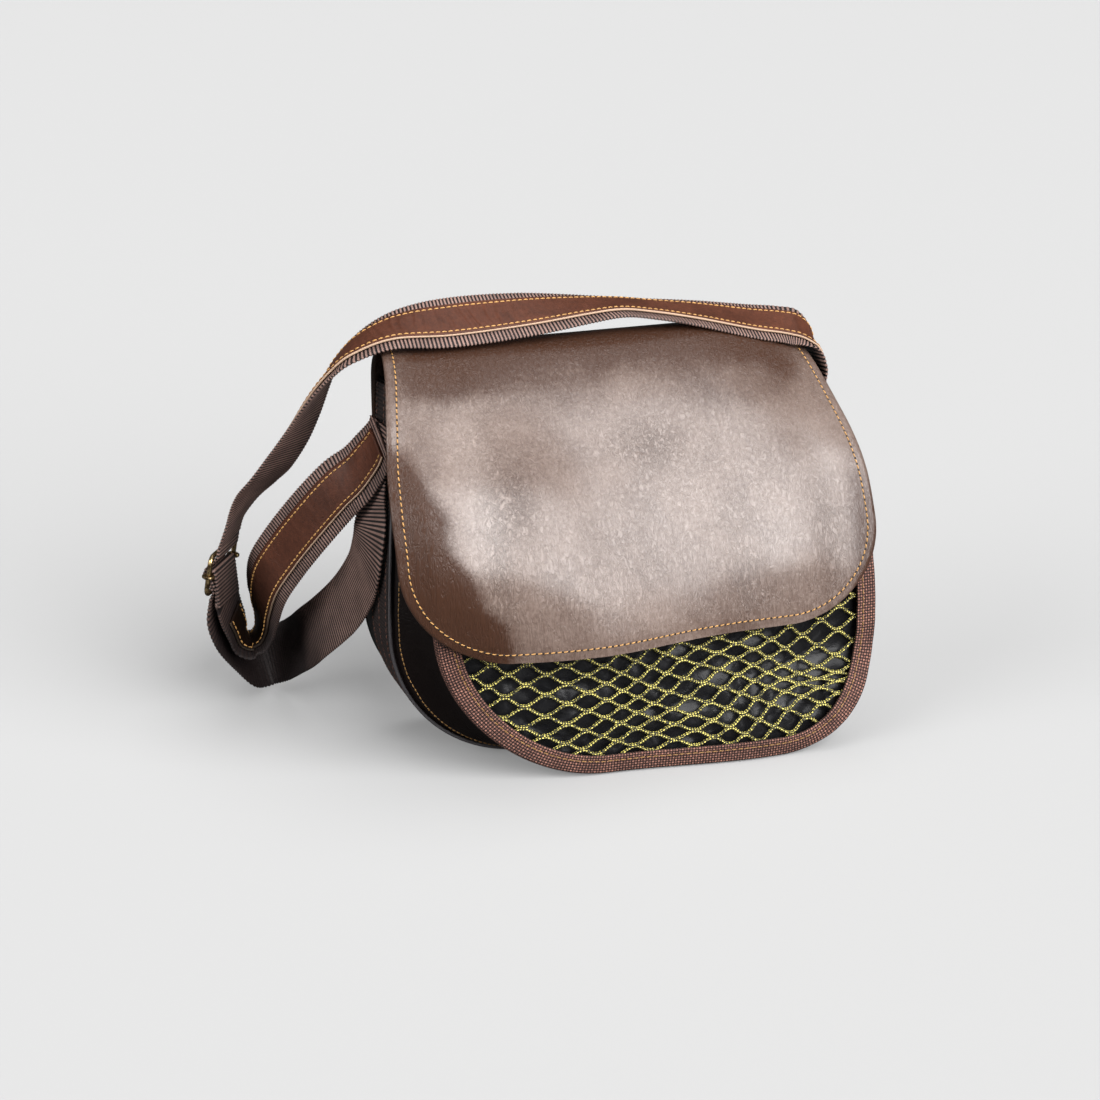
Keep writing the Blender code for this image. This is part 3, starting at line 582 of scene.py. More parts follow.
def ribbon(name, band, width, low, high, columns, finish, ripple=None, edge=0.45, teeth=0.0,
           **roles):
    """Band with rounded edges; ripple lifts both of its faces, and teeth notch its sides."""
    places = np.linspace(-width / 2 + edge, width / 2 - edge, columns + 1)
    thick = high - low
    ring = ([(place, high, 1) for place in places] + [(width / 2, high - thick * 0.3, 0.4)]
            + [(width / 2, low + thick * 0.3, -0.4)] + [(place, low, -1) for place in places[::-1]]
            + [(-width / 2, low + thick * 0.3, -0.4), (-width / 2, high - thick * 0.3, 0.4)])
    place, height, share = np.array(ring, float).T
    travelled = band.travelled[:, None]
    lift = np.zeros((len(band.middle), len(place)))
    if ripple is not None:
        lift = ripple(travelled, place[None, :]) * share[None, :]
    height = height[None, :] + lift
    notch = teeth * np.cos(2 * math.pi * travelled / sizes().rib_pitch)
    wide = place[None, :] + np.where(np.abs(share) < 1, np.sign(place), 0)[None, :] * notch
    rings = (band.middle[:, None] + band.across[:, None] * wide[..., None]
             + band.face[:, None] * height[..., None])
    uv = stacked(travelled, place[None, :] + 0.5 * share[None, :])
    return loft(name, rings, finish, uv=uv, **roles)


# --- finishes -------------------------------------------------------------------------------


def sizes():
    """The scene's size settings."""
    return bpy.context.scene.bag_sizes


def colours():
    """The scene's colour settings."""
    return bpy.context.scene.bag_colours


def scaled(tint, times, plus=0.0):
    """A colour made darker or paler."""
    return tuple(channel * times + plus for channel in tint)


def opaque(value):
    """A colour with an alpha of one, or the socket that gives a colour."""
    return value if isinstance(value, bpy.types.NodeSocket) else (*value, 1.0)


def feed(tree, made, inputs):
    """Give a node its values, or link the sockets that make them."""
    for key, value in inputs.items():
        if isinstance(value, bpy.types.NodeSocket):
            tree.links.new(value, made.inputs[key])
        else:
            made.inputs[key].default_value = value


def node(tree, kind, inputs=None, **settings):
    """Add a node with its settings and inputs."""
    made = tree.nodes.new(kind)
    for key, value in settings.items():
        setattr(made, key, value)
    feed(tree, made, inputs or {})
    return made


def maths(tree, operation, first, second=0.5, third=0.5):
    """Result of a math node."""
    inputs = {0: first, 1: second, 2: third}
    return node(tree, "ShaderNodeMath", inputs, operation=operation).outputs[0]


def product(tree, first, second):
    """Two values multiplied."""
    return maths(tree, "MULTIPLY", first, second)


def away_from_half(tree, value):
    """How far a value is from one half."""
    return maths(tree, "ABSOLUTE", maths(tree, "SUBTRACT", value, 0.5))


def remap(tree, value, low, high, new_low=0.0, new_high=1.0):
    """Value mapped smoothly from one range to another and held there."""
    inputs = {"Value": value, "From Min": low, "From Max": high,
              "To Min": new_low, "To Max": new_high}
    return node(tree, "ShaderNodeMapRange", inputs, interpolation_type="SMOOTHSTEP").outputs[0]


def blend(tree, amount, first, second):
    """Mix of two colours."""
    inputs = {0: amount, 6: opaque(first), 7: opaque(second)}
    return node(tree, "ShaderNodeMix", inputs, data_type="RGBA").outputs[2]


def cloud(tree, vector, scale, detail=3.0, roughness=0.55, distortion=0.0):
    """Noise texture's value."""
    inputs = {"Vector": vector, "Scale": scale, "Detail": detail, "Roughness": roughness,
              "Distortion": distortion}
    return node(tree, "ShaderNodeTexNoise", inputs).outputs[0]


def carried(tree, name):
    """A value that a mesh carries at its points."""
    return node(tree, "ShaderNodeAttribute", attribute_name=name).outputs["Fac"]


def row_coords(tree):
    """Coordinates in the bag's own frame."""
    return node(tree, "ShaderNodeTexCoord").outputs["Object"]


def along_coords(tree):
    """Coordinates along and across a band."""
    return node(tree, "ShaderNodeUVMap", uv_map="along").outputs[0]


def shared(name, inputs, outputs, draw):
    """A shader group, drawn on first use; it has a Vector and these further values."""
    if name in bpy.data.node_groups:
        return bpy.data.node_groups[name]
    tree = bpy.data.node_groups.new(name, "ShaderNodeTree")
    tree.interface.new_socket("Vector", in_out="INPUT", socket_type="NodeSocketVector")
    for label, value in inputs.items():
        socket = tree.interface.new_socket(label, in_out="INPUT", socket_type="NodeSocketFloat")
        socket.default_value = value
    for label in outputs:
        tree.interface.new_socket(label, in_out="OUTPUT", socket_type="NodeSocketFloat")
    start = tree.nodes.new("NodeGroupInput")
    end = tree.nodes.new("NodeGroupOutput")
    feed(tree, end, dict(zip(outputs, draw(tree, start.outputs))))
    return tree


def place_group(tree, group, inputs):
    """Put a shared effect into a material."""
    return node(tree, "ShaderNodeGroup", inputs, node_tree=group).outputs


def draw_grain(tree, given):
    """Pores, creases, mottling and fine speckle of leather."""
    vector = given["Vector"]
    pores = node(tree, "ShaderNodeTexVoronoi",
                 {"Vector": vector, "Scale": given["Pore Scale"]}, feature="F1").outputs[0]
    warp = cloud(tree, vector, given["Crease Scale"], 2.0, 0.6, 1.5)
    creases = remap(tree, away_from_half(tree, warp), 0.0, 0.06, 1.0, 0.0)
    broken = cloud(tree, vector, given["Mottle Scale"], 2.0)
    creases = product(tree, creases, remap(tree, broken, 0.45, 0.7))
    mottle = cloud(tree, vector, given["Mottle Scale"], 5.0, 0.6, 0.6)
    height = maths(tree, "SUBTRACT", product(tree, pores, 0.35), creases)
    return height, mottle, creases, cloud(tree, vector, 420.0, 5.0, 0.7)


def draw_threads(tree, given):
    """Threads that pass over and under each other, from coordinates in metres."""
    parts = node(tree, "ShaderNodeSeparateXYZ", {0: given["Vector"]}).outputs
    waves = []
    for part, pitch in ((parts[0], given["Along"]), (parts[1], given["Across"])):
        turns = maths(tree, "DIVIDE", part, pitch)
        waves.append(maths(tree, "SINE", product(tree, turns, math.pi)))
    both = product(tree, *waves)
    threads = remap(tree, maths(tree, "ABSOLUTE", both), 0.1, 0.8)
    over = remap(tree, both, -0.5, 0.5)
    return product(tree, threads, maths(tree, "MULTIPLY_ADD", over, 0.5, 0.5)), threads


def draw_turn_shade(tree, given):
    """Mask of the painted shade where the strap turns near the floor."""
    inputs = {0: given["Vector"], 1: TURN_SHADE_PLACE}
    reach = node(tree, "ShaderNodeVectorMath", inputs, operation="DISTANCE").outputs["Value"]
    inputs = {0: reach, 1: given["Darkest Within"], 2: given["Unshaded Beyond"], 3: 0.03, 4: 1.0}
    return (node(tree, "ShaderNodeMapRange", inputs).outputs[0],)


def leather_grain():
    """Group of the leathers' grain."""
    return shared("Leather grain",
                  {"Pore Scale": 900.0, "Crease Scale": 120.0, "Mottle Scale": 30.0},
                  ("Height", "Mottle", "Creases", "Speckle"), draw_grain)


def woven_threads(tree, coords, along, across):
    """Place the group of woven threads."""
    group = shared("Woven threads", {"Along": 0.0012, "Across": 0.0012},
                   ("Height", "Threads"), draw_threads)
    return place_group(tree, group, {"Vector": coords, "Along": along, "Across": across})


def turn_unshaded_part(tree):
    """Place the group that masks the painted shade of the strap's turn."""
    group = shared("Painted turn shade", {"Darkest Within": 0.042, "Unshaded Beyond": 0.104},
                   ("Unshaded",), draw_turn_shade)
    return place_group(tree, group, {"Vector": row_coords(tree)})["Unshaded"]


def material(name, paint, *looks, **settings):
    """A material, painted on first use."""
    if name in bpy.data.materials:
        return bpy.data.materials[name]
    made = bpy.data.materials.new(name)
    made.use_nodes = True
    tree = made.node_tree
    paint(tree, tree.nodes["Principled BSDF"], *looks, **settings)
    return made


def bump(tree, shader, height, distance, strength=1.0):
    """Feed a height to the shader's normal."""
    made = node(tree, "ShaderNodeBump",
                {"Height": height, "Distance": distance, "Strength": strength})
    feed(tree, shader, {"Normal": made.outputs[0]})


def leather(tree, shader, dark, pale, roughness, coat=0.0, waxed=False, pore=900.0,
            crease=90.0, mottle=24.0, gloss=0.5, soiled=False):
    """Leather of two tones with grain, creases and uneven polish."""
    coords = row_coords(tree)
    grain = place_group(tree, leather_grain(), {"Vector": coords, "Pore Scale": pore,
                                                "Crease Scale": crease, "Mottle Scale": mottle})
    speckle, creases, height = grain["Speckle"], grain["Creases"], grain["Height"]
    amount = maths(tree, "MULTIPLY_ADD", grain["Mottle"], 1.2, -0.10)
    amount = maths(tree, "MULTIPLY_ADD", maths(tree, "SUBTRACT", speckle, 0.5), 0.5, amount)
    polish = coat
    if waxed:
        tone, wrinkled = carried(tree, "tone"), carried(tree, "wrinkled")
        # The flap's tone: wax, painted shade and painted sheen in the colour, and wax in the
        # polish
        darker = product(tree, maths(tree, "MINIMUM", tone, 0.0), 0.9)
        paler = product(tree, maths(tree, "MAXIMUM", tone, 0.0), 0.25)
        amount = maths(tree, "ADD", amount, maths(tree, "ADD", darker, paler))
        upright = node(tree, "ShaderNodeMapping", {0: coords, "Scale": WRINKLE_STRETCH})
        lines = cloud(tree, upright.outputs[0], 420.0, 3.0, 0.55, 0.8)
        lines = remap(tree, away_from_half(tree, lines), 0.0, 0.12)
        # Painted shade in the fine crease lines, deeper where the flap is wrinkled
        painted_crease_shade = product(tree, maths(tree, "SUBTRACT", 1.0, lines),
                        maths(tree, "MULTIPLY_ADD", wrinkled, 0.16, 0.07))
        amount = maths(tree, "SUBTRACT", amount, painted_crease_shade)
        polish = maths(tree, "MULTIPLY_ADD", tone, 0.75, coat)
        polish = product(tree, polish, remap(tree, speckle, 0.3, 0.7, 0.86, 1.1))
        polish = node(tree, "ShaderNodeClamp", {0: polish}).outputs[0]
        deep = product(tree, lines, maths(tree, "MULTIPLY_ADD", wrinkled, 4.0, 1.4))
        height = maths(tree, "ADD", product(tree, height, 0.6), deep)
    amount = maths(tree, "SUBTRACT", amount, product(tree, creases, 0.15))
    amount = node(tree, "ShaderNodeClamp", {0: amount, 1: 0.04}).outputs[0]
    amount = product(tree, amount, remap(tree, speckle, 0.3, 0.7, 0.9, 1.1))
    surface = blend(tree, amount, dark, pale)
    # Painted shade: the strap's turn near the floor is darkened to near-black
    if soiled:
        surface = blend(tree, turn_unshaded_part(tree), TURN_SHADE_COLOUR, surface)
    shine = maths(tree, "MULTIPLY_ADD", grain["Mottle"], 0.25, roughness - 0.12)
    shine = maths(tree, "ADD", shine, product(tree, creases, 0.1))
    feed(tree, shader, {"Base Color": surface, "Roughness": shine, "Coat Weight": polish,
                        "Coat Roughness": 0.24, "Specular IOR Level": gloss})
    bump(tree, shader, height, LEATHER_RELIEF, 0.6)


def ribbed(tree, shader, dark, lit, pitch):
    """Ribbed webbing: dark grooves, paler threads on the ribs, painted as shade in the grooves and
    light on the ribs.
    """
    coords = along_coords(tree)
    along = node(tree, "ShaderNodeSeparateXYZ", {0: coords}).outputs[0]
    turns = product(tree, along, 2 * math.pi / pitch)
    # Painted light on the ribs and painted shade in the grooves, by the ribs' wave
    rib = remap(tree, maths(tree, "COSINE", turns), -0.4, 0.9)
    threads = woven_threads(tree, coords, pitch, RIB_THREAD)
    lines = remap(tree, threads["Threads"], 0.0, 1.0, 0.45, 1.0)
    worn = remap(tree, cloud(tree, row_coords(tree), 55.0, 4.0), 0.25, 0.75, 0.55, 1.0)
    amount = product(tree, product(tree, rib, lines), worn)
    # Painted shade: darker at the strap's turn near the floor
    amount = product(tree, amount, turn_unshaded_part(tree))
    feed(tree, shader, {"Base Color": blend(tree, amount, dark, lit), "Roughness": 0.62,
                        "Specular IOR Level": 0.3})
    bump(tree, shader, threads["Height"], 0.0003, 0.8)


def taped(tree, shader, dark, lit, pitch):
    """Woven tape of small crossing threads, with painted shade where the threads sink."""
    threads = woven_threads(tree, along_coords(tree), pitch, pitch)
    worn = remap(tree, cloud(tree, row_coords(tree), 70.0, 4.0), 0.25, 0.75, 0.5, 1.0)
    amount = product(tree, threads["Height"], worn)
    feed(tree, shader, {"Base Color": blend(tree, amount, dark, lit), "Roughness": 0.75,
                        "Specular IOR Level": 0.3})
    bump(tree, shader, threads["Height"], 0.0005)


def braided(tree, shader, bright, dark, pitch):
    """Braided cord: bright strands with dark ones showing between them, and painted shade where
    the strands sink.
    """
    threads = woven_threads(tree, along_coords(tree), pitch, pitch * 0.7)
    specks = remap(tree, cloud(tree, row_coords(tree), 850.0, 2.0), 0.40, 0.54, 0.05, 1.0)
    amount = remap(tree, product(tree, threads["Height"], specks), 0.14, 0.55)
    feed(tree, shader, {"Base Color": blend(tree, amount, dark, bright), "Roughness": 0.6})
    bump(tree, shader, threads["Height"], 0.0005)


def coated_cloth(tree, shader, tint):
    """Thin glossy coated cloth, paler on the high parts of its folds as a painted sheen."""
    folds = cloud(tree, row_coords(tree), 90.0, 4.0, 0.6, 1.2)
    surface = blend(tree, remap(tree, folds, 0.5, 0.8), tint, scaled(tint, 2, 0.004))
    feed(tree, shader, {"Base Color": surface, "Specular IOR Level": 0.18,
                        "Roughness": remap(tree, folds, 0.3, 0.7, 0.24, 0.40)})
    bump(tree, shader, folds, 0.001, 0.5)


def twisted(tree, shader, tint, shade):
    """Twisted sewing thread."""
    strands = cloud(tree, row_coords(tree), 1800.0, 2.0)
    surface = blend(tree, remap(tree, strands, 0.3, 0.6), shade, tint)
    feed(tree, shader, {"Base Color": surface, "Roughness": 0.55})
    bump(tree, shader, strands, 0.0002, 0.5)


def aged_brass(tree, shader, bright, patina):
    """Brass wire, dark with age and rubbed bright in patches."""
    age = cloud(tree, row_coords(tree), 240.0, 5.0, 0.65)
    surface = blend(tree, remap(tree, age, 0.42, 0.62), patina, bright)
    feed(tree, shader, {"Base Color": surface, "Metallic": 1.0,
                        "Roughness": remap(tree, age, 0.3, 0.7, 0.45, 0.24)})
    bump(tree, shader, age, 0.0002, 0.3)


def studio_floor(tree, shader, tint):
    """Pale plain floor, paler for the camera than for the light that it gives off."""
    seen = node(tree, "ShaderNodeLightPath").outputs["Is Camera Ray"]
    feed(tree, shader, {"Base Color": blend(tree, seen, scaled(tint, 0.3), tint),
                        "Emission Color": blend(tree, seen, (0.0,) * 3, (FLOOR_GLOW,) * 3),
                        "Emission Strength": 1.0, "Roughness": 0.9, "Specular IOR Level": 0.1})


def dark_leather():
    """Leather of the body."""
    tint = colours().black_leather
    return material("Black leather", leather, tint, scaled(tint, 2, 0.002), 0.42, gloss=0.07)


def flap_leather():
    """Waxed leather of the flap."""
    return material("Waxed leather", leather, colours().flap_dark, colours().flap_pale, 0.36,
                    coat=0.62, waxed=True, pore=1100.0, crease=150.0, mottle=17.0, gloss=0.32)


def strap_leather():
    """Oiled leather of the strips."""
    return material("Strap leather", leather, colours().strap_dark, colours().strap_pale, 0.48,
                    mottle=40.0, gloss=0.16, soiled=True)


def raw_leather():
    """Pale cut edge of a strip."""
    tint = colours().raw_edge
    return material("Raw edge", leather, scaled(tint, 0.8), tint, 0.6, gloss=0.2, soiled=True)


def grey_edge():
    """Raised edge of the front seam."""
    tint = colours().grey_edge
    return material("Grey edge", leather, tint, scaled(tint, 1.6), 0.5)


def webbing(name, lit):
    """Ribbed webbing with ribs of a colour."""
    return material(name, ribbed, colours().webbing_dark, lit, sizes().rib_pitch * MM)


def strap_webbing():
    """Webbing of the strap."""
    return webbing("Strap webbing", colours().webbing_lit)


def side_webbing():
    """Webbing round the bag's side: the strap's ribs darkened as painted shade."""
    return webbing("Shaded side webbing", scaled(colours().webbing_lit, 0.08))


def gold_thread():
    """Thread of the flap, the strap and the back."""
    return material("Golden thread", twisted, colours().thread, scaled(colours().thread, 0.45))


def dull_and_shaded_thread():
    """Thread of the seam and the binding: golden thread darkened, as painted shade on the seam
    round the pocket's side and as a dim thread on the binding.
    """
    tint = colours().thread
    return material("Dull and shaded thread", twisted, scaled(tint, 0.6), scaled(tint, 0.25))


def brown_thread():
    """Thread of the side webbing."""
    tint = colours().brown_thread
    return material("Brown thread", twisted, tint, scaled(tint, 0.4))


def hole_dark():
    """Inside of a needle hole, near-black as painted shade."""
    return material("Needle holes", twisted, (0.01, 0.006, 0.004), (0.02, 0.012, 0.008))


# --- stitching ------------------------------------------------------------------------------


def stitch_row(name, path, normals, finish, pitch=None, radius=None, fill=0.8, slant=0.0,
               holes=None):
    """Row of separate stitches along a path on a surface, dipping into it at both ends."""
    pitch = pitch or sizes().stitch_pitch
    radius = radius or sizes().thread_radius
    travelled = lengths(path)
    count = max(1, int(travelled[-1] / pitch))
    starts = (np.arange(count) + 0.5) * travelled[-1] / count

    def at(distance):
        place, normal = (np.stack([np.interp(distance, travelled, column)
                                   for column in rows.T], axis=-1) for rows in (path, normals))
        return place, unit(normal)

    reach = pitch * fill
    places, up = at(starts)
    forward = unit(at(starts + pitch / 4)[0] - at(starts - pitch / 4)[0])
    side = unit(np.cross(up, forward))
    forward = unit(forward * math.cos(slant) + side * math.sin(slant))
    side = np.cross(up, forward)
    angles = np.arange(STITCH_SIDES) * 2 * math.pi / STITCH_SIDES
    shape = np.array([((along - 0.5) * reach, math.cos(a) * radius * wide,
                       math.sin(a) * radius * wide * 0.8 + rise * radius * 1.2)
                      for along, rise, wide in STITCH_RINGS for a in angles])
    faces = tube_faces(len(STITCH_RINGS), STITCH_SIDES)
    many(name, shape, faces, places, forward, side, up, finish)
    # Near-black discs at the needle holes between the stitches, as painted shade
    if holes:
        between = np.concatenate((starts - pitch / 2, starts[-1:] + pitch / 2))
        places, up = at(between)
        back = places - at(between - 0.5)[0]
        moves = np.linalg.norm(back, axis=1, keepdims=True) > 1e-6
        forward = unit(np.where(moves, back, np.roll(places, -1, axis=0) - places))
        side = unit(np.cross(up, forward))
        turn = np.arange(HOLE_SIDES) * 2 * math.pi / HOLE_SIDES
        disc = [(math.cos(a) * holes, math.sin(a) * holes, 0.0) for a in turn]
        disc = np.array(disc + [(0, 0, HOLE_RISE), (0, 0, -HOLE_DEPTH)])
        faces = []
        for corner in range(HOLE_SIDES):
            beside = (corner + 1) % HOLE_SIDES
            faces += [(corner, beside, HOLE_SIDES), (beside, corner, HOLE_SIDES + 1)]
        many(name + "_holes", disc, faces, places, forward, side, up, hole_dark())


# --- main compartment -----------------------------------------------------------------------


def u_grid(inset, low, high, columns):
    """Grid across a U-shaped band: from depth low(z) to depth high(z)."""
    path = outline(BODY, inset)
    x, z = path[:, :1], path[:, 1:]
    part = np.linspace(0, 1, columns + 1)[None, :]
    return settle(stacked(x, low(z) + (high(z) - low(z)) * part, z))


def seam_depth(z):
    """Middle of the front panel's leather."""
    return at_height(SEAM, z)


def fill_panel(path, top, depth, columns):
    """Grid that fills a U-shaped path up to a height."""
    count = len(path)
    half = SIDE_STEPS + CORNER_STEPS + 1
    left = path[:half]
    right = path[::-1][:half]
    keep = left[:, 1] < top
    left = np.vstack(((side_at(path[:SIDE_STEPS + 1], top), top), left[keep]))
    right = np.vstack(((side_at(path[count - SIDE_STEPS - 1:], top), top), right[keep]))
    part = np.linspace(0, 1, columns + 1)[None, :, None]
    flat = left[:, None] * (1 - part) + right[:, None] * part
    x, z = flat[..., 0], flat[..., 1]
    return stacked(x, depth(x, z), z)


def side_band(forward_of, spacing):
    """Band round the body's sides and base, at a distance from the front seam's middle."""
    x, z = outline(BODY, GUSSET_WEBBING / 2).T
    middle = settle(stacked(x, seam_depth(z) + forward_of, z))
    return band_along(np.hstack((middle, np.tile(SIDEWAYS, (len(middle), 1)))), spacing)


class BAG_OT_main_compartment(bpy.types.Operator):
    """Back, front and side leather of the main compartment, with its seam and webbing strip"""

    bl_idname = "bag.main_compartment"
    bl_label = "Main compartment"

    def execute(self, context):
        on_gusset = GUSSET_WEBBING + GAP
        grid = u_grid(on_gusset + PANEL / 2,
                      lambda z: seam_depth(z) + PANEL / 2 + LAYER_GAP,
                      lambda z: at_height(BACK, z) - GAP, 26)
        grid[..., 0] += np.sign(grid[..., 0]) * 0.5 * wobble(grid, 22.0)
        thick_sheet("side_leather", grid, PANEL, dark_leather(), replaced=("main_gusset",),
                    slot="dark_leather")
        body = outline(BODY, on_gusset)
        panel = fill_panel(body, BACK_PANEL_TOP,
                           lambda x, z: at_height(BACK, z) + PANEL / 2, PANEL_COLUMNS)
        panel = settle(panel)
        panel[..., 1] += 0.5 * wobble(panel, 45.0, 3.0)
        thick_sheet("back_leather", panel, PANEL, dark_leather(), replaced=("back_panel",),
                    slot="dark_leather")
        edge = outline(BODY, on_gusset + BACK_STITCH_INSET)
        edge = edge[edge[:, 1] < BACK_STITCH_TOP]
        row = stacked(edge[:, 0], at_height(BACK, edge[:, 1]) + PANEL, edge[:, 1])
        normals = np.tile(SIDEWAYS, (len(row), 1))
        stitch_row("back_stitches", settle(row), normals, gold_thread(), holes=0.55)
        front = fill_panel(body, FRONT_PANEL_TOP, lambda x, z: seam_depth(z), 60)
        thick_sheet("inner_leather", settle(front), PANEL, dark_leather(),
                    replaced=("front_panel",), slot="dark_leather")
        self.add_strip()
        self.add_welt()
        return {"FINISHED"}

    def add_strip(self):
        """Ribbed webbing sewn round the side leather, with three rows of stitches."""
        band = side_band(STRIP_START + STRIP_WIDTH / 2, sizes().rib_pitch / 4)
        ribbon("side_webbing", band, STRIP_WIDTH, -GUSSET_WEBBING / 2 + 0.2,
               GUSSET_WEBBING / 2 - 0.2, 12, side_webbing(), ripple=rib_ripple,
               replaced=("gusset_webbing",), slot="webbing")
        for index, place in enumerate(STRIP_STITCH_PLACES):
            sewn_on_band("side_webbing_stitches_%d" % index, band, place,
                         GUSSET_WEBBING / 2 - 0.3, brown_thread(), every=4.2)

    def add_welt(self):
        """Raised edge of the front seam: a grey ply and a black one."""
        band = side_band(0, 2.0)
        for index, place in enumerate(WELT_PLACES):
            shifted = band._replace(middle=band.middle + band.across * place)
            roles = {"replaced": ("seam_welt",), "slot": "flap_leather"} if index == 0 else {}
            ribbon("seam_edge_%d" % index, shifted, WELT_PLY, -GUSSET_WEBBING / 2,
                   GUSSET_WEBBING / 2 - 0.25 * index, 2,
                   grey_edge() if index == 0 else dark_leather(), **roles)


def rib_ripple(travelled, place):
    """Ribs across a webbing."""
    return sizes().rib_height * np.cos(2 * math.pi * travelled / sizes().rib_pitch) + 0 * place


def sewn_on_band(name, band, place, height, finish, every=3.5, **settings):
    """Stitches along a band at a place across it, on the face at a height."""
    path = band.middle + band.across * place + band.face * height
    side = band.face * (1 if height > 0 else -1)
    stitch_row(name, path, side, finish, pitch=every, **settings)


# --- pocket ---------------------------------------------------------------------------------


def net_depth(z):
    """Middle of the net's cords."""
    return at_height(NET, z) + NET_CORD / 2


def gather(x, z):
    """The net is drawn together at its lower right, and its rows wave."""
    pull_x, pull_z, wide, high, share = NET_PULL
    pull = share * np.exp(-((x - pull_x) / wide) ** 2 - ((z - pull_z) / high) ** 2)
    z = z + pull * (pull_z - z)
    wave = 2.6 * np.sin(x / 37.0 + z / 21.0) + 1.7 * np.sin(x / 15.0 - z / 24.0)
    rise = 3.0 * np.sin(x / 44.0 - z / 33.0 + 1.0) + 1.4 * np.sin(x / 17.0 + z / 12.0)
    return x + wave, z + rise


def net_strands():
    """Zigzag strands of the diamond net as lists of points, cut at the binding."""
    shape = outline(POCKET, TAPE + LAYER_GAP + 1.4)
    left, right = shape[:len(shape) // 2], shape[len(shape) // 2:]
    half = CELL_WIDE / 2
    swing = CELL_HIGH / 4 - 0.66 * sizes().net_radius
    x = np.arange(-POCKET.left, POCKET.right, CELL_STEP)
    strands = []
    for row in range(-2, int(POCKET.top / (CELL_HIGH / 2)) + 2):
        sign = 1 if row % 2 else -1
        wave = np.arcsin(CELL_TURN * np.cos(math.pi * x / half)) / math.asin(CELL_TURN)
        bend = np.tanh(CELL_BEND * wave) / math.tanh(CELL_BEND) * CELL_BEND_SHARE
        wave = bend + (1 - CELL_BEND_SHARE) * np.clip(CELL_STRAIGHT * wave, -1, 1)
        z = row * CELL_HIGH / 2 + sign * swing * wave
        px, pz = gather(x, z)
        inside = (pz > 1.8) & (pz < POCKET.top - 2)
        inside &= (px > side_at(left, pz)) & (px < side_at(right, pz))
        y = net_depth(np.clip(pz, 0, POCKET.top)) + sign * 0.45 * np.sin(math.pi * x / half)
        points = settle(stacked(px, y, pz))
        runs = np.split(np.arange(len(x)), np.where(np.diff(inside.astype(int)) != 0)[0] + 1)
        strands += [points[run] for run in runs if inside[run[0]] and len(run) > 4]
    return strands


def tubes(name, strands, radius, sides, finish, lumps=0.0, period=2.4, **roles):
    """Round cords along lists of points, as one mesh with coordinates along and round them."""
    points, faces, uv = [], [], []
    start = 0
    for strand in strands:
        travelled = lengths(strand)
        forward = unit(np.gradient(strand, axis=0))
        side = unit(np.cross(forward, SIDEWAYS))
        swell = radius * (1 + lumps * np.cos(2 * math.pi * travelled / period))
        rings, turn = rings_round(strand, side, np.cross(side, forward), swell, sides)
        faces += tube_faces(len(strand), sides, start)
        points.append(rings.reshape(-1, 3))
        round_it = np.abs(turn - math.pi) * radius
        uv.append(stacked(travelled[:, None], round_it[None, :]).reshape(-1, 2))
        start += len(strand) * sides
    return make_mesh(name, np.concatenate(points), faces, finish, uv=np.concatenate(uv), **roles)


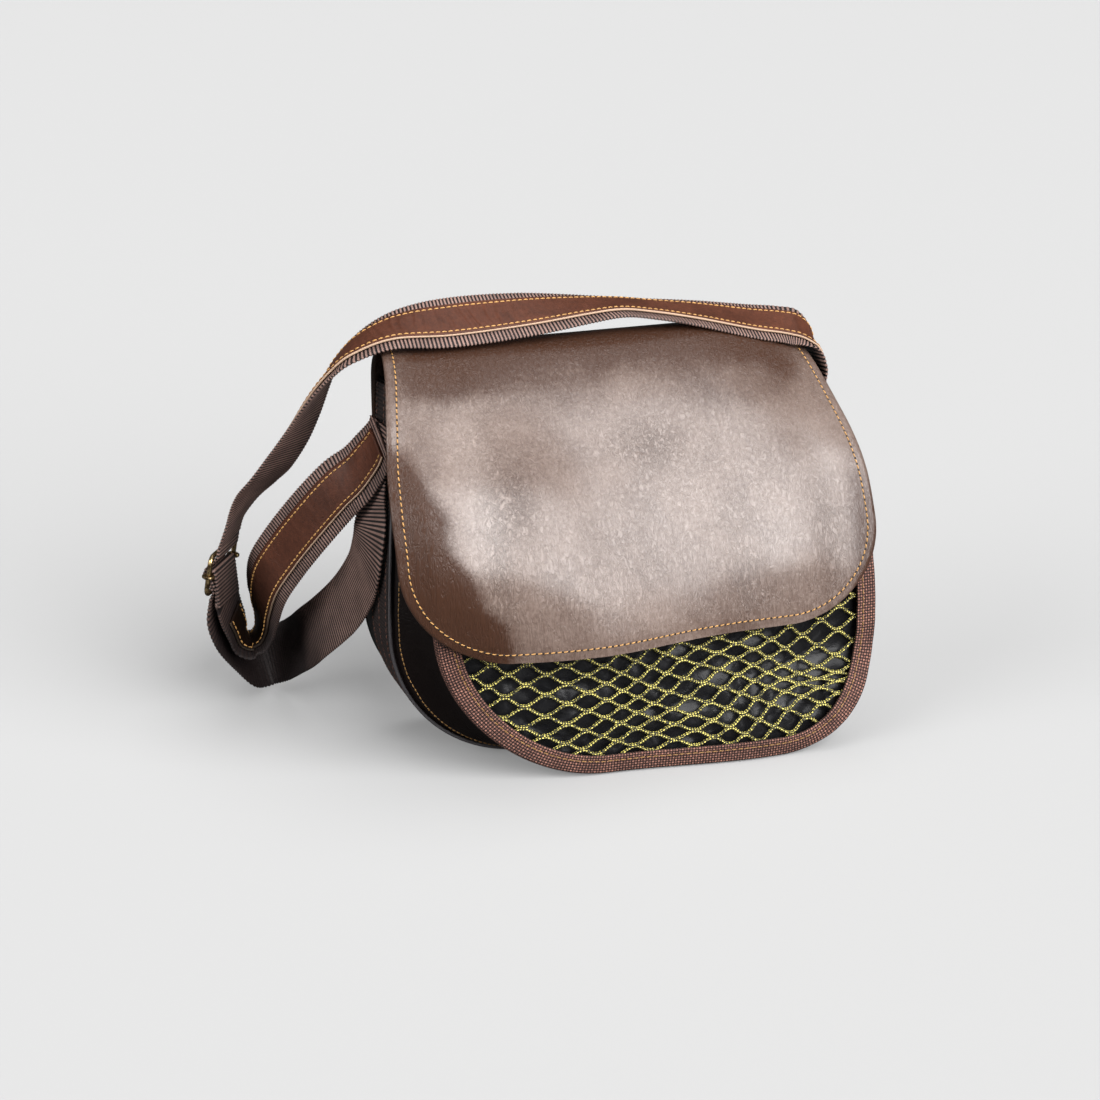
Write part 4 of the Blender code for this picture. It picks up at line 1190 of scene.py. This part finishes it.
class BAG_OT_pocket(bpy.types.Operator):
    """Front pocket: side leather, crinkled liner, diamond net and woven binding"""

    bl_idname = "bag.pocket"
    bl_label = "Net pocket"

    def execute(self, context):
        self.add_side()
        self.add_liner()
        self.add_net()
        self.add_binding()
        return {"FINISHED"}

    def add_side(self):
        """Soft leather band between the seam and the pocket's front."""
        back = outline(BODY, GUSSET_WEBBING + GAP + PANEL / 2)
        front = outline(POCKET, TAPE + GUSSET_INSET + PANEL / 2)
        part = np.linspace(0, 1, 31)[None, :]
        y_back = seam_depth(back[:, 1]) - PANEL / 2 - LAYER_GAP
        y_front = at_height(NET, front[:, 1]) + NET_CORD + LINER + TAPE + 3 * LAYER_GAP
        x = back[:, :1] + (front[:, :1] - back[:, :1]) * part
        z = back[:, 1:] + (front[:, 1:] - back[:, 1:]) * part
        y = y_back[:, None] + (y_front - y_back)[:, None] * part
        sag = POCKET_SAG * 4 * part * (1 - part) * smooth_step(z / SAG_HEIGHT)
        grid = stacked(x - np.sign(x) * sag, y, z)
        folds = wobble(grid * (1, 0.5, 2.2), 30.0, 7.0) * 1.6 * 4 * part * (1 - part)
        folds = folds * smooth_step(z / SAG_HEIGHT)
        grid[..., 0] -= np.sign(grid[..., 0]) * (folds + 0.8)
        grid = settle(grid)
        thick_sheet("pocket_side", grid, PANEL, dark_leather(),
                    replaced=("pocket_gusset",), slot="dark_leather")
        edge = grid[:, 2]
        normals = -grid_normals(grid)[:, 2]
        keep = slice(12, len(edge) - 12)
        outward = np.sign((normals * (edge - (0, 0, 120))).sum(1, keepdims=True))
        normals = normals * outward
        path = edge + normals * PANEL / 2
        stitch_row("seam_stitches", path[keep], normals[keep], dull_and_shaded_thread(), pitch=3.3,
                   radius=0.42, holes=0.4)

    def add_liner(self):
        """Crinkled black sheet behind the net."""
        path = outline(POCKET, TAPE + LAYER_GAP)

        def depth(x, z):
            rest = at_height(NET, z) + NET_CORD + LAYER_GAP + LINER / 2
            flat = stacked(x, 0, z)
            big = wobble(flat, 20.0, 1.0)
            small = wobble(flat, 8.0, 5.0)
            inner = smooth_step(np.minimum(x + 128, 146 - x) / 30) * smooth_step((z - 4) / 20)
            crinkle = 2.6 * (1 - np.abs(big) * 2.2) + 0.7 * (1 - np.abs(small) * 2.2)
            return rest + inner * np.maximum(crinkle, 0.0)

        grid = settle(fill_panel(path, POCKET.top - 1, depth, 110))
        cloth = material("Coated cloth", coated_cloth, colours().liner)
        piece = thick_sheet("pocket_liner_sheet", grid, LINER_SEEN, cloth,
                            replaced=("pocket_liner",), slot="pocket_liner")

    def add_net(self):
        """Braided cords of the diamond net."""
        cord = material("Braided cord", braided, colours().net_bright, colours().net_dark,
                        BRAID_PITCH)
        tubes("net_cords", net_strands(), sizes().net_radius, CORD_SIDES, cord, lumps=CORD_LUMPS,
              replaced=("net_panel",), slot="net_cord")

    def add_binding(self):
        """Woven tape folded round the pocket's edge, with a row of stitches."""
        inside = NET_CORD + LINER + 2 * LAYER_GAP
        front = -TAPE - LAYER_GAP
        rear = inside + TAPE
        profile = [(TAPE_FRONT, front + 0.35), (TAPE_FRONT - 0.4, front)]
        profile += [(place, front) for place in (12, 10, 8, 6, 4, 2.4)]
        for angle in np.radians((15, 35, 60, 90, 120, 145, 165)):
            middle = (front + rear) / 2
            profile.append((1.9 - 1.9 * math.sin(angle),
                            middle - (rear - front) / 2 * math.cos(angle)))
        profile += [(2.4, rear), (TAPE_BACK - 0.4, rear), (TAPE_BACK, rear - 0.4),
                    (TAPE_BACK, inside), (TAPE, inside), (TAPE, -LAYER_GAP),
                    (TAPE_FRONT, -LAYER_GAP)]
        rings = []
        for inset, depth in profile:
            path = outline(POCKET, inset)
            line = stacked(path[:, 0], at_height(NET, path[:, 1]) + depth, path[:, 1])
            ripple = 0.7 * wobble(line, 17.0, 4.0) * smooth_step((line[:, 2] - 2) / 12)
            line[:, 1] -= np.abs(ripple) * (1 if depth < 0 else 0.2)
            rings.append(settle(line))
        rings = np.stack(rings, axis=1)
        around = lengths(rings[len(rings) // 2])
        along = lengths(rings[:, 4])
        uv = stacked(along[:, None], around[None, :])
        tape = material("Woven tape", taped, colours().tape_dark, colours().tape_lit,
                        sizes().tape_pitch * MM)
        loft("binding_tape", rings, tape, uv=uv, replaced=("binding",), slot="binding_tape")
        path = rings[:, 3]
        normals = unit(np.cross(np.gradient(path, axis=0), rings[:, 2] - rings[:, 5]))
        normals *= -np.sign(normals[:, 1:2])
        stitch_row("binding_stitches", path[6:-6], normals[6:-6], dull_and_shaded_thread(), pitch=4.2,
                   radius=0.36)


# --- flap -----------------------------------------------------------------------------------


def flap_table():
    """Fine side view of the flap with the distance from its hem."""
    rows = catmull(FLAP, np.linspace(0, len(FLAP) - 1, 400))
    return rows, lengths(rows[:, :2])


def flap_point(distance, side_share):
    """Middle of the flap's leather at distances from the hem and shares from left to right."""
    rows, travelled = flap_table()
    y, z, left, right = (np.interp(distance, travelled, column) for column in rows.T)
    straight = travelled[-1] - FLAP_CORNER
    into = np.maximum(distance - straight, 0.0)
    rounding = FLAP_CORNER - np.sqrt(np.maximum(FLAP_CORNER ** 2 - into ** 2, 0.0))
    x = -(left - rounding) * (1 - side_share) + (right - rounding) * side_share
    return flap_place(x, y, z)


def beyond_fold(x, z):
    """How far a place is to the left of the line of the flap's fold."""
    (top_x, top_z), (low_x, low_z) = FOLD_TOP, FOLD_LOW
    reach = math.hypot(low_x - top_x, low_z - top_z)
    return ((x - top_x) * (low_z - top_z) - (z - top_z) * (low_x - top_x)) / reach


def flap_place(x, y, z):
    """A point of the flap with its dents, creases and curled edges."""
    push = np.zeros(np.shape(x))
    for dent_x, dent_z, wide, high, depth in FLAP_DENTS:
        reach = np.hypot((x - dent_x) / wide, (z - dent_z) / high)
        push = push + depth * smooth_step(1 - reach)
    for at_x, at_z, wide, high, wave, depth in FLAP_CREASES:
        reach = smooth_step(1 - np.hypot((x - at_x) / wide, (z - at_z) / high))
        run = x if high > wide else z
        bend = 2.0 * np.sin((z if high > wide else x) / 7.0)
        push = push + depth * reach * np.sin(2 * math.pi * (run + bend) / wave)
    beyond = beyond_fold(x, z)
    ridge = (smooth_step((FOLD_WIDTH - beyond) / FOLD_WIDTH)
             * smooth_step((beyond + 3 * FOLD_WIDTH) / 80))
    push = push + FOLD_RISE * ridge * smooth_step((228 - z) / 60)
    push = push - CURL * smooth_step((CURL_START - x) / 22) * smooth_step((225 - z) / 30)
    push = np.where(y < 0, push, 0.0)
    return settle(stacked(x, y - push, z))


def patches(rows, x, z):
    """Sum of soft patches over the flap."""
    total = np.zeros(np.shape(x))
    for at_x, at_z, wide, high, amount in rows:
        reach = np.hypot((x - at_x) / wide, (z - at_z) / high)
        total = total + amount * np.exp(-reach ** 2 * 1.2)
    return total


def flap_wax_and_painted_light(x, z, y):
    """Tone over the flap, from dark (-1) to pale (1): wax, painted sheen and painted shade."""
    tone = patches(FLAP_WAX_AND_PAINTED_LIGHT, x, z)
    beyond = beyond_fold(x, z) + 3.0 * np.sin(z / 13.0) + 2.0 * np.sin(z / 5.5 + 1.0)
    # Painted shade to the left of the fold's line, weaker towards the bottom
    shade = smooth_step((beyond + 8) / 30) * smooth_step((224 - z) / 30)
    shade = shade * (0.65 + 0.35 * smooth_step((z - 96) / 50))
    return np.where(y < 50, tone + FOLD_SHADE * shade, -0.4)


class BAG_OT_flap(bpy.types.Operator):
    """Leather flap with its dents, wax tones with painted sheen and shade, and stitched edge"""

    bl_idname = "bag.flap"
    bl_label = "Flap"

    def execute(self, context):
        straight = flap_table()[1][-1] - FLAP_CORNER
        distance = np.concatenate((
            np.linspace(0, straight, FLAP_ROWS, endpoint=False),
            straight + FLAP_CORNER * np.sin(np.linspace(0, math.pi / 2, FLAP_CORNER_ROWS))))
        share = np.linspace(0, 1, FLAP_COLUMNS + 1)
        grid = flap_point(distance[:, None], share[None, :])
        tone = flap_wax_and_painted_light(grid[..., 0], grid[..., 2], grid[..., 1])
        wrinkled = patches(FLAP_WRINKLES, grid[..., 0], grid[..., 2])
        wrinkled = np.where(grid[..., 1] < 30, np.clip(wrinkled, 0, 1), 0.0)
        thick_sheet("flap_sheet", grid, FLAP_LEATHER, flap_leather(),
                    values={"tone": tone, "wrinkled": wrinkled}, replaced=("flap",),
                    slot="flap_leather")
        self.add_edge_row(straight, sizes().stitch_inset)
        self.add_hem_rows()
        return {"FINISHED"}

    def add_edge_row(self, straight, inset):
        """Stitches down both sides and along the rounded front edge."""
        rows, travelled = flap_table()
        radius = FLAP_CORNER - inset
        turn = np.linspace(0, math.pi / 2, 30)
        down = np.linspace(EDGE_ROW_START, straight, 160, endpoint=False)

        def edge(distance, column):
            return np.interp(distance, travelled, rows[:, column])

        left_x = np.concatenate((-(edge(down, 2) - inset),
                                 -(edge(straight, 2) - FLAP_CORNER) - radius * np.cos(turn)))
        left_s = np.concatenate((down, straight + radius * np.sin(turn)))
        right_x = np.concatenate((edge(down, 3) - inset,
                                  edge(straight, 3) - FLAP_CORNER + radius * np.cos(turn)))
        along_x = np.linspace(left_x[-1], right_x[-1], 140)[1:-1]
        x = np.concatenate((left_x, along_x, right_x[::-1]))
        s = np.concatenate((left_s, np.full(len(along_x), left_s[-1]), left_s[::-1]))

        def surface(dx, ds):
            return flap_place(x + dx, edge(s + ds, 0), edge(s + ds, 1))

        normals = unit(np.cross(surface(1, 0) - surface(-1, 0), surface(0, 1) - surface(0, -1)))
        normals *= -np.sign(normals[:, 1:2] - 0.4 * normals[:, 2:3])
        path = surface(0, 0) + normals * FLAP_LEATHER / 2
        stitch_row("flap_stitches", path, normals, gold_thread(), fill=0.74, slant=0.16,
                   holes=0.72)

    def add_hem_rows(self):
        """Two rows that hold the flap's hem to the back panel."""
        for index, distance in enumerate(HEM_ROWS):
            share = np.linspace(0.02, 0.98, 120)
            line = flap_point(np.full(120, distance), share)
            normals = np.tile(SIDEWAYS, (len(line), 1))
            stitch_row("hem_stitches_%d" % index, line + normals * FLAP_LEATHER / 2, normals,
                       gold_thread(), holes=0.5)


# --- strap ----------------------------------------------------------------------------------


def slider_axes():
    """Unit directions along the slider, across it, and out of its outer face."""
    across = unit(SLIDER_ACROSS)
    up = unit(SLIDER_UP - across * SLIDER_UP.dot(across))
    return up, across, np.cross(up, across)


def slider_point(along, out, sideways=0.0):
    """A place in the slider."""
    up, across, outward = slider_axes()
    return SLIDER_MIDDLE + up * along + outward * out + across * sideways


Rod = namedtuple("Rod", "along out radius side")


def round_rods(rods):
    """Path of a band drawn tight round a row of rods, with arcs on the rods."""
    angles = []
    for here, after in zip(rods, rods[1:]):
        reach = math.hypot(after.along - here.along, after.out - here.out)
        direct = math.atan2(after.out - here.out, after.along - here.along)
        lift = (here.side * here.radius - after.side * after.radius) / reach
        angles.append(direct - math.asin(lift))
    path = [(rods[0].along, rods[0].out)]
    for rod, arriving, leaving in zip(rods[1:], angles, angles[1:]):
        turn = leaving - arriving
        while turn * rod.side > 0:
            turn -= rod.side * 2 * math.pi
        steps = max(1, math.ceil(abs(math.degrees(turn)) / ARC_STEP))
        for step in range(steps + 1):
            angle = arriving + turn * step / steps
            path.append((rod.along - rod.side * rod.radius * math.sin(angle),
                         rod.out + rod.side * rod.radius * math.cos(angle)))
    path.append((rods[-1].along, rods[-1].out))
    return path


def in_slider(rods):
    """Stations of a band inside the slider."""
    across = slider_axes()[1]
    return np.array([(*slider_point(along, out), *across) for along, out in round_rods(rods)])


def through(table):
    """Fine stations on the smooth curve through a strap table."""
    return catmull(table, np.linspace(0, len(table) - 1, (len(table) - 1) * 24 + 1))


def shoulder_band():
    """The long band, and how far along it the slider ends."""
    inside = in_slider((
        Rod(-STRAP_LEAVES, -STRAP_ON_FRAME + STRAP_LEAD_IN, 0, 1),
        Rod(-SLIDER_HALF_LENGTH, 0, STRAP_ON_FRAME, -1),
        Rod(0, 0, STRAP_ON_BAR, 1),
        Rod(SLIDER_HALF_LENGTH, 0, STRAP_ON_FRAME, -1),
        Rod(STRAP_LEAVES, -STRAP_ON_FRAME, 0, 1),
    ))
    tail = through(np.vstack((TAIL, inside[:1])))
    shoulder = through(np.vstack((inside[-1:], SHOULDER)))
    stations = np.vstack((tail[:-1], inside, shoulder[1:]))
    leaves = lengths(np.vstack((tail[:-1], inside))[:, :3])[-1]
    return band_along(stations, sizes().rib_pitch / 4), leaves


def loop_band():
    """The short band, and how far along it the slider starts."""
    inside = in_slider((
        Rod(-LOOP_LEAVES, -LOOP_UNDER_STRAP - STRAP_LEAD_IN, 0, 1),
        Rod(-SLIDER_HALF_LENGTH, 0, LOOP_UNDER_STRAP, -1),
        Rod(0, 0, LOOP_ON_BAR, 1),
        Rod(-LOOP_END_LEAVES, -LOOP_END_UNDER - STRAP_LEAD_IN, 0, 1),
    ))
    loop = through(np.vstack((LOOP, inside[:1])))
    stations = np.vstack((loop[:-1], inside))
    return band_along(stations, sizes().rib_pitch / 4), lengths(loop[:, :3])[-1]


def strip_ripple(travelled, place, depth):
    """Cross wrinkles of a leather strip."""
    length = travelled + 2.5 * np.sin(travelled / 23.0)
    length = length + 1.2 * np.sin(place / 5.0 + travelled / 9.0)
    fold = np.sin(2 * math.pi * length / 7.3) + np.sin(2 * math.pi * length / 4.9 + place / 6.0)
    zone = 0.7 + 0.3 * np.sin(travelled / 11.0)
    return depth * np.maximum(fold, -0.4) * zone * smooth_step((11.5 - np.abs(place)) / 5)


class BAG_OT_strap(bpy.types.Operator):
    """Both webbing bands of the strap with their leather strips and stitches"""

    bl_idname = "bag.strap"
    bl_label = "Shoulder strap"

    def execute(self, context):
        band, leaves = shoulder_band()
        self.add_band("shoulder", band, leaves + SHOULDER_BARE,
                      band.travelled[-1] - SHOULDER_BARE, -1)
        band, enters = loop_band()
        self.add_band("loop", band, LOOP_BARE_START, enters - LOOP_BARE_END, 1)
        return {"FINISHED"}

    def add_band(self, name, band, start, end, side):
        """One webbing and the leather strip sewn on one of its sides."""
        half = WEBBING / 2 - sizes().rib_height / 2
        ribbon(name + "_band", band, STRAP_WIDTH, -half, half, BAND_COLUMNS, strap_webbing(),
               ripple=rib_ripple, teeth=WEBBING_TEETH, replaced=(name + "_webbing",),
               slot="webbing")
        lined = part_of(band, start, end)
        away = np.linalg.norm(lined.middle - WRINKLE_PLACE, axis=1)[:, None]
        depth = WRINKLE_REST + WRINKLE_DEPTH * np.exp(-(away / WRINKLE_REACH) ** 2)
        base = WEBBING / 2 + GAP
        top = base + STRAP_LEATHER
        low, high = (base, top) if side > 0 else (-top, -base)
        ribbon(name + "_strip", lined, STRIP_LEATHER_WIDTH, low, high, STRIP_COLUMNS,
               strap_leather(),
               ripple=lambda travelled, place: strip_ripple(travelled, place, depth),
               replaced=(name + "_leather",), slot="strap_leather")
        for index, place in enumerate((-1, 1)):
            edge = place * (STRIP_LEATHER_WIDTH / 2 - STRIP_STITCH_INSET)
            sewn_on_band("%s_stitches_%d" % (name, index), lined, edge, side * top,
                         gold_thread(), every=sizes().stitch_pitch, radius=0.5)
            raw = lined._replace(middle=lined.middle + lined.across * place
                                 * (STRIP_LEATHER_WIDTH / 2 + RAW_EDGE_OUT))
            ribbon("%s_raw_edge_%d" % (name, index), raw, RAW_EDGE_WIDTH, low + RAW_EDGE_DOWN,
                   high - RAW_EDGE_DOWN, 1, raw_leather() if index == 0 else strap_leather(),
                   edge=RAW_EDGE_ROUND)


class BAG_OT_slider(bpy.types.Operator):
    """Brass wire slider: frame and hooked centre bar"""

    bl_idname = "bag.slider"
    bl_label = "Slider"

    def execute(self, context):
        hook = FRAME_WIRE + GAP + BAR_WIRE
        half_wide = STRAP_WIDTH / 2 + GAP + BAR_WIRE + hook
        corners = []
        for along_sign, side_sign, start in ((1, 1, 0), (1, -1, 90), (-1, -1, 180), (-1, 1, 270)):
            for step in range(WIRE_CORNER_STEPS + 1):
                angle = math.radians(start + 90 * step / WIRE_CORNER_STEPS)
                sideways = side_sign * (half_wide - FRAME_CORNER) + FRAME_CORNER * math.cos(angle)
                along = (along_sign * (SLIDER_HALF_LENGTH - FRAME_CORNER)
                         + FRAME_CORNER * math.sin(angle))
                corners.append(slider_point(along, 0, sideways))
        self.add_wire("slider_frame", np.array(corners), FRAME_WIRE, True, "buckle_frame")
        end = []
        for step in range(HOOK_STEPS + 1):
            angle = math.radians(HOOK_END + (HOOK_START - HOOK_END) * step / HOOK_STEPS)
            end.append((half_wide - hook * math.cos(angle), hook * math.sin(angle)))
        end.append((STRAP_WIDTH / 2 + GAP, 0))
        places = [slider_point(0, out, -sideways) for sideways, out in end]
        places += [slider_point(0, out, sideways) for sideways, out in reversed(end)]
        self.add_wire("slider_bar", np.array(places), BAR_WIRE, False, "buckle_bar")
        return {"FINISHED"}

    def add_wire(self, name, points, radius, closed, stands_for):
        """Round wire through points."""
        if closed:
            points = np.vstack((points, points[:1]))
        forward = np.gradient(points, axis=0)
        if closed:
            ends = points[1] - points[-2]
            forward[0], forward[-1] = ends, ends
        forward = unit(forward)
        outward = slider_axes()[2]
        side = unit(np.cross(forward, np.tile(outward, (len(points), 1)) + 1e-4))
        radii = np.full(len(points), radius)
        rings = rings_round(points, side, np.cross(side, forward), radii, WIRE_SIDES)[0]
        if closed:
            rings = rings[:-1]
        brass = material("Aged brass", aged_brass, colours().brass, colours().patina)
        loft(name, rings, brass, closed=closed, replaced=(stands_for,), slot="antique_brass")


# --- stage ----------------------------------------------------------------------------------


class BAG_OT_stage(bpy.types.Operator):
    """Camera at the photograph's angle, pale floor and soft studio light"""

    bl_idname = "bag.stage"
    bl_label = "Stage"

    def execute(self, context):
        scene = context.scene
        camera = bpy.data.objects.new("camera", bpy.data.cameras.new("camera"))
        scene.collection.objects.link(camera)
        azimuth = math.radians(CAMERA_AZIMUTH)
        elevation = math.radians(CAMERA_ELEVATION)
        back = Vector((math.sin(azimuth) * math.cos(elevation),
                       -math.cos(azimuth) * math.cos(elevation), math.sin(elevation)))
        camera.location = Vector(CAMERA_TARGET) + back * CAMERA_DISTANCE
        camera.rotation_mode = "QUATERNION"
        camera.rotation_quaternion = (-back).to_track_quat("-Z", "Y")
        camera.data.sensor_width = 36
        camera.data.lens = CAMERA_LENS
        camera.data.clip_start = 0.01
        scene.camera = camera
        scene.view_settings.view_transform = "Standard"
        self.add_floor()
        self.add_lights()
        return {"FINISHED"}

    def add_floor(self):
        """Plain pale floor."""
        mesh = bpy.data.meshes.new("floor")
        corners = [(x * FLOOR_HALF, y * FLOOR_HALF, 0)
                   for x, y in ((-1, -1), (1, -1), (1, 1), (-1, 1))]
        mesh.from_pydata(corners, [], [(0, 1, 2, 3)])
        floor = bpy.data.objects.new("floor", mesh)
        bpy.context.scene.collection.objects.link(floor)
        floor.location.z = -FLOOR_DROP
        made = material("Studio floor", studio_floor, colours().floor)
        mesh.materials.append(made)

    def add_lights(self):
        """Broad key light from the front right, dim room."""
        world = bpy.context.scene.world or bpy.data.worlds.new("studio")
        bpy.context.scene.world = world
        world.use_nodes = True
        background = world.node_tree.nodes["Background"]
        background.inputs[0].default_value = (0.98, 0.99, 1.0, 1)
        tree = world.node_tree
        seen = node(tree, "ShaderNodeLightPath").outputs["Is Camera Ray"]
        room = sizes().room_light
        feed(tree, background, {1: maths(tree, "MULTIPLY_ADD", seen, ROOM_SEEN - room, room)})
        for name, share, spread, direction in LIGHTS:
            lamp = bpy.data.lights.new(name, "SUN")
            lamp.energy = sizes().key_light * share
            lamp.angle = math.radians(spread)
            light = bpy.data.objects.new(name, lamp)
            light.rotation_mode = "QUATERNION"
            light.rotation_quaternion = Vector(direction).to_track_quat("Z", "Y")
            bpy.context.scene.collection.objects.link(light)


# --- settings and panel ---------------------------------------------------------------------


def colour(name, description, value):
    """A colour setting."""
    return FloatVectorProperty(name=name, description=description, default=value, size=3,
                               min=0.0, max=1.0, subtype="COLOR")


def size(name, description, value, least, most):
    """A setting of a size or a strength."""
    return FloatProperty(name=name, description=description, default=value, min=least, max=most)


class BagColours(bpy.types.PropertyGroup):
    """Colours of the bag's leathers, cloths and metal"""

    flap_dark: colour("Flap, dark wax", "Darkest tone of the flap", (0.038, 0.013, 0.005))
    flap_pale: colour("Flap, pale wax", "Palest tone of the flap", (0.212, 0.157, 0.132))
    black_leather: colour("Body leather", "Sides, back and panels", (0.0035, 0.0022, 0.002))
    strap_dark: colour("Strap leather, dark", "Darker tone of the strips", (0.022, 0.008, 0.005))
    strap_pale: colour("Strap leather, pale", "Paler tone of the strips", (0.105, 0.035, 0.019))
    raw_edge: colour("Raw edge", "Cut edges of the strips", (0.480, 0.330, 0.230))
    grey_edge: colour("Seam edge", "Raised edge of the front seam", (0.032, 0.029, 0.031))
    webbing_dark: colour("Webbing, grooves", "Between the ribs", (0.006, 0.003, 0.003))
    webbing_lit: colour("Webbing, ribs", "On the ribs", (0.550, 0.340, 0.280))
    tape_dark: colour("Binding, grooves", "Between the threads", (0.010, 0.004, 0.004))
    tape_lit: colour("Binding, threads", "On the threads", (0.370, 0.175, 0.130))
    net_bright: colour("Net, bright strand", "Yellow-green strands", (0.740, 0.640, 0.150))
    net_dark: colour("Net, dark strand", "Dark strands", (0.018, 0.017, 0.006))
    liner: colour("Liner", "Coated cloth behind the net", (0.008, 0.008, 0.009))
    thread: colour("Thread", "Golden sewing thread", (0.520, 0.275, 0.085))
    brown_thread: colour("Brown thread", "Thread of the side webbing", (0.130, 0.050, 0.030))
    brass: colour("Brass", "Rubbed brass", (0.550, 0.400, 0.200))
    patina: colour("Patina", "Aged brass", (0.060, 0.040, 0.022))
    floor: colour("Floor", "Studio floor", (0.335, 0.335, 0.335))


class BagSizes(bpy.types.PropertyGroup):
    """Sizes of the fine detail, in millimetres, and the light"""

    rib_pitch: size("Rib pitch", "From rib to rib of the webbing", 2.4, 1.0, 6.0)
    rib_height: size("Rib height", "Half of the ribs' relief", 0.28, 0.0, 0.8)
    tape_pitch: size("Tape pitch", "From thread to thread of the tape", 1.85, 0.5, 4.0)
    net_radius: size("Net cord radius", "Radius of the net's cords", 1.05, 0.5, 3.0)
    stitch_pitch: size("Stitch pitch", "From stitch to stitch", 3.9, 1.5, 8.0)
    stitch_inset: size("Stitch inset", "From the flap's edge to its row", 6.0, 2.0, 15.0)
    thread_radius: size("Thread radius", "Radius of the thread", 0.44, 0.2, 1.2)
    key_light: size("Key light", "Strength of the key light", 6.9, 0.0, 20.0)
    room_light: size("Room light", "Strength of the room's light", 0.05, 0.0, 5.0)


STEPS = (BAG_OT_stage, BAG_OT_main_compartment, BAG_OT_pocket, BAG_OT_flap, BAG_OT_strap,
         BAG_OT_slider)


class BAG_PT_panel(bpy.types.Panel):
    """Buttons for each piece of the bag"""

    bl_idname = "BAG_PT_panel"
    bl_label = "Hunting bag"
    bl_space_type = "VIEW_3D"
    bl_region_type = "UI"
    bl_category = "Hunting bag"

    def draw(self, context):
        for step in STEPS:
            self.layout.operator(step.bl_idname)
        for group in (context.scene.bag_sizes, context.scene.bag_colours):
            for name in group.bl_rna.properties.keys():
                if name not in ("rna_type", "name"):
                    self.layout.prop(group, name)


CLASSES = (BagColours, BagSizes, *STEPS, BAG_PT_panel)


def register():
    """Add the settings, operators and panel."""
    for item in CLASSES:
        bpy.utils.register_class(item)
    bpy.types.Scene.bag_sizes = PointerProperty(type=BagSizes)
    bpy.types.Scene.bag_colours = PointerProperty(type=BagColours)


def unregister():
    """Take the settings, operators and panel away."""
    del bpy.types.Scene.bag_colours
    del bpy.types.Scene.bag_sizes
    for item in reversed(CLASSES):
        bpy.utils.unregister_class(item)


def main():
    """Build every piece in order."""
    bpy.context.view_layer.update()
    register()
    bpy.ops.bag.stage()
    bpy.ops.bag.main_compartment()
    bpy.ops.bag.pocket()
    bpy.ops.bag.flap()
    bpy.ops.bag.strap()
    bpy.ops.bag.slider()


if __name__ == "__main__":
    main()
